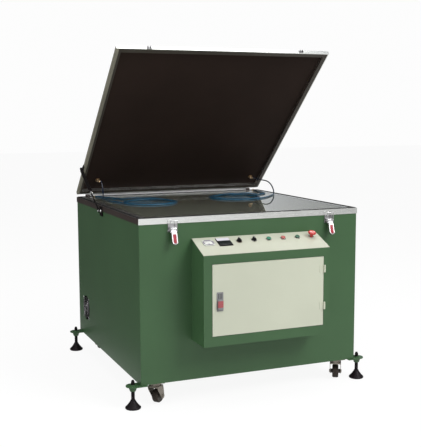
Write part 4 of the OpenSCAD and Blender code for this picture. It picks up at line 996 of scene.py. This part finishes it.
fix_on(into_piece("light_meter_case", bm, [meter_case, dial_white, window_ring], meter_finish, 40),
       "light_meter")
stroke_tree, given, result, stroke_keys = node_tree("scale_strokes", [
    ("Count", "Int"), ("Radius", "Float"), ("Length", "Float"), ("Width", "Float")])
arc = added(stroke_tree, "GeometryNodeCurveArc", {
    "Start Angle": math.radians(35), "Sweep Angle": math.radians(110)})
stroke = added(stroke_tree, "GeometryNodeMeshCube")
stroke_size = added(stroke_tree, "ShaderNodeCombineXYZ", {"Z": 0.0003})
to_points = added(stroke_tree, "GeometryNodeCurveToPoints")
on_arc = added(stroke_tree, "GeometryNodeInstanceOnPoints")
wired(stroke_tree, (given["Radius"], arc.inputs["Radius"]),
      (given["Count"], to_points.inputs["Count"]),
      (arc.outputs["Curve"], to_points.inputs["Curve"]),
      (given["Length"], stroke_size.inputs["X"]),
      (given["Width"], stroke_size.inputs["Y"]),
      (stroke_size.outputs[0], stroke.inputs["Size"]),
      (to_points.outputs["Points"], on_arc.inputs["Points"]),
      (to_points.outputs["Rotation"], on_arc.inputs["Rotation"]),
      (stroke.outputs["Mesh"], on_arc.inputs["Instance"]))
planted(stroke_tree, given, result, on_arc.outputs[0], dial_ink)
pivot_s = line_s - 0.012
strokes = grown("meter_scale", stroke_tree, stroke_keys,
                {"Count": 21, "Radius": 0.0235, "Length": 0.0007, "Width": 0.003},
                seat_at("dial_seat", (meter_x, pivot_s, dial_level + 0.0001)))
strokes.data.transform(on_slope)
reading = math.radians(118)
needle_way = Vector((math.cos(reading), math.sin(reading), 0))
across = Vector((-needle_way.y, needle_way.x, 0))
hub = Vector((meter_x, pivot_s, dial_level + 0.0006))
blade = [hub + 0.0006 * across, hub - 0.0006 * across, hub + 0.0225 * needle_way]
bm = bmesh.new()
plate(bm, [p.xy for p in blade], hub.z, hub.z + 0.0004)
turned(bm, [(0, 0), (0.0028, 0), (0.0028, 0.0006), (0.0022, 0.0011), (0, 0.0012)],
       hub - Vector((0, 0, 0.0004)), steps=20)
placed(bm, on_slope)
needle = into_piece("meter_needle", bm, [dial_ink])
for piece in (strokes, needle):
    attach(piece, "cabinet")

# Timer: a black moulded case; the upper part of its face is a pale strip and the lower part a
# dark glossy window.
case_black = moulding_grain("timer_case_plastic", (0.006, 0.005, 0.006), 0.6, coat=0.0,
                            specular=0.04)
strip_pale = moulding_grain("timer_strip", (0.66, 0.63, 0.70), 0.36)
window_dark = moulding_grain("timer_window", (0.004, 0.005, 0.006), 0.2, coat=0.0, specular=0.10)
eased("timer_display", [case_black], edge=0.001)
timer_x, timer_h = -0.196, panel_top + 0.005
for name, mat, up_slope, half_x, half_s, thick in (
        ("timer_strip_plate", strip_pale, 0.0235, 0.0365, 0.013, 0.0008),
        ("timer_window_plate", window_dark, -0.0135, 0.034, 0.020, 0.0006)):
    bm = bmesh.new()
    plate(bm, rounded(timer_x, line_s + up_slope, half_x, half_s, 0.003), timer_h - 0.0005,
          timer_h + thick, 0.0004)
    placed(bm, on_slope)
    piece = into_piece(name, bm, [mat])
    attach(piece, "cabinet")

# Switches: chromed rings with black bodies below the panel, then two black selector knobs with
# a white line, three domed push buttons and a red mushroom head.
ring_metal = plated("switch_ring", (0.66, 0.64, 0.61), 0.22)
ring_brown = plated("switch_ring_brown", (0.22, 0.17, 0.14), 0.35)
body_black = moulding_grain("switch_body_plastic", (0.02, 0.02, 0.02), 0.45)
first_x, pitch_x = -0.1095, 0.0869


def ring_or_body(c, n):
    if (off_slope @ c).z < panel_top:
        return 1
    return 2 if c.x < first_x + 0.3 * pitch_x else 0


eased("switch_bodies", [ring_metal, body_black, ring_brown], pick=ring_or_body)
knob_black = moulding_grain("selector_knob_plastic", (0.006, 0.006, 0.007), 0.45, coat=0.0,
                            specular=0.12)
line_white = moulding_grain("pointer_white", (0.75, 0.75, 0.73), 0.4)
face_h = 0.0053
for i, hand in enumerate(("left", "right")):
    centre_x = first_x + i * pitch_x
    eased("selector_" + hand, [knob_black], edge=0.0012, steps=3)
    bm = bmesh.new()
    plate(bm, rounded(centre_x, line_s + 0.0065, 0.0008, 0.005, 0.0004, 2),
          face_h + 0.0156, face_h + 0.0163, 0.0002)
    placed(bm, on_slope)
    mark = into_piece("selector_line_" + hand, bm, [line_white])
    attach(mark, "selector_" + hand)
cap_green = moulding_grain("cap_green", (0.010, 0.17, 0.095), 0.22, coat=0.5)
cap_red = moulding_grain("cap_red", (0.46, 0.095, 0.085), 0.22, coat=0.5)
cap_dark = moulding_grain("cap_dark_green", (0.018, 0.10, 0.055), 0.22, coat=0.5)
stop_red = moulding_grain("stop_red_plastic", (0.52, 0.018, 0.016), 0.25, coat=0.5)
plunger_r = 0.00794
cap = [(0, -0.025), (plunger_r, -0.025), (plunger_r, 0.003), (0.0121, 0.003),
       (0.0125, 0.0034), (0.0125, 0.0072), (0.012, 0.0082), (0.0108, 0.0088),
       (0.006, 0.009), (0, 0.009)]
mushroom = [(0, -0.023), (plunger_r, -0.023), (plunger_r, 0.0148), (0.0186, 0.015),
            (0.0204, 0.0172), (0.0219, 0.0192), (0.022, 0.021), (0.022, 0.024),
            (0.0212, 0.0258), (0.0196, 0.0274), (0.0172, 0.0285), (0.013, 0.029), (0, 0.029)]
for i, node, end, outline, mat in (
        (2, "button_green", "_cap", cap, cap_green), (3, "button_red", "_cap", cap, cap_red),
        (4, "button_dark", "_cap", cap, cap_dark),
        (5, "emergency_stop", "_head", mushroom, stop_red)):
    bm = bmesh.new()
    turned(bm, outline, Vector((first_x + i * pitch_x, line_s, face_h)))
    placed(bm, on_slope)
    fix_on(into_piece(node + end, bm, [mat], keep=50), node)

# Door: a folded cream sheet on two barrel hinges at the right. The lock is a grey case with a
# slotted grip above a push button with a red face.
eased("door_panel", [cream], edge=0.001)
lock_grey = moulding_grain("lock_case_metal", (0.24, 0.24, 0.245), 0.4)
slot_painted_shade = moulding_grain("lock_slot_painted_shade", (0.03, 0.03, 0.03), 0.6)
lock_red = moulding_grain("lock_button_red", (0.40, 0.075, 0.085), 0.3, coat=0.4)
slot_low, slot_high = box_face - 0.0022, box_face - 0.0012
# The floor of the grip's slot is near black: painted shade in the recess
eased("lock_housing", [lock_grey, slot_painted_shade],
      pick=lambda c, n: 1 if slot_low < c.y < slot_high and n.y < -0.9 else 0)
red_low, red_high = 0.5455, 0.5805
eased("lock_button", [lock_red, lock_grey], edge=0.0014, steps=3,
      pick=lambda c, n: 0 if red_low < c.z < red_high else 1,
      cuts=[((0, 0, z), (0, 0, 1)) for z in (red_low, red_high)])
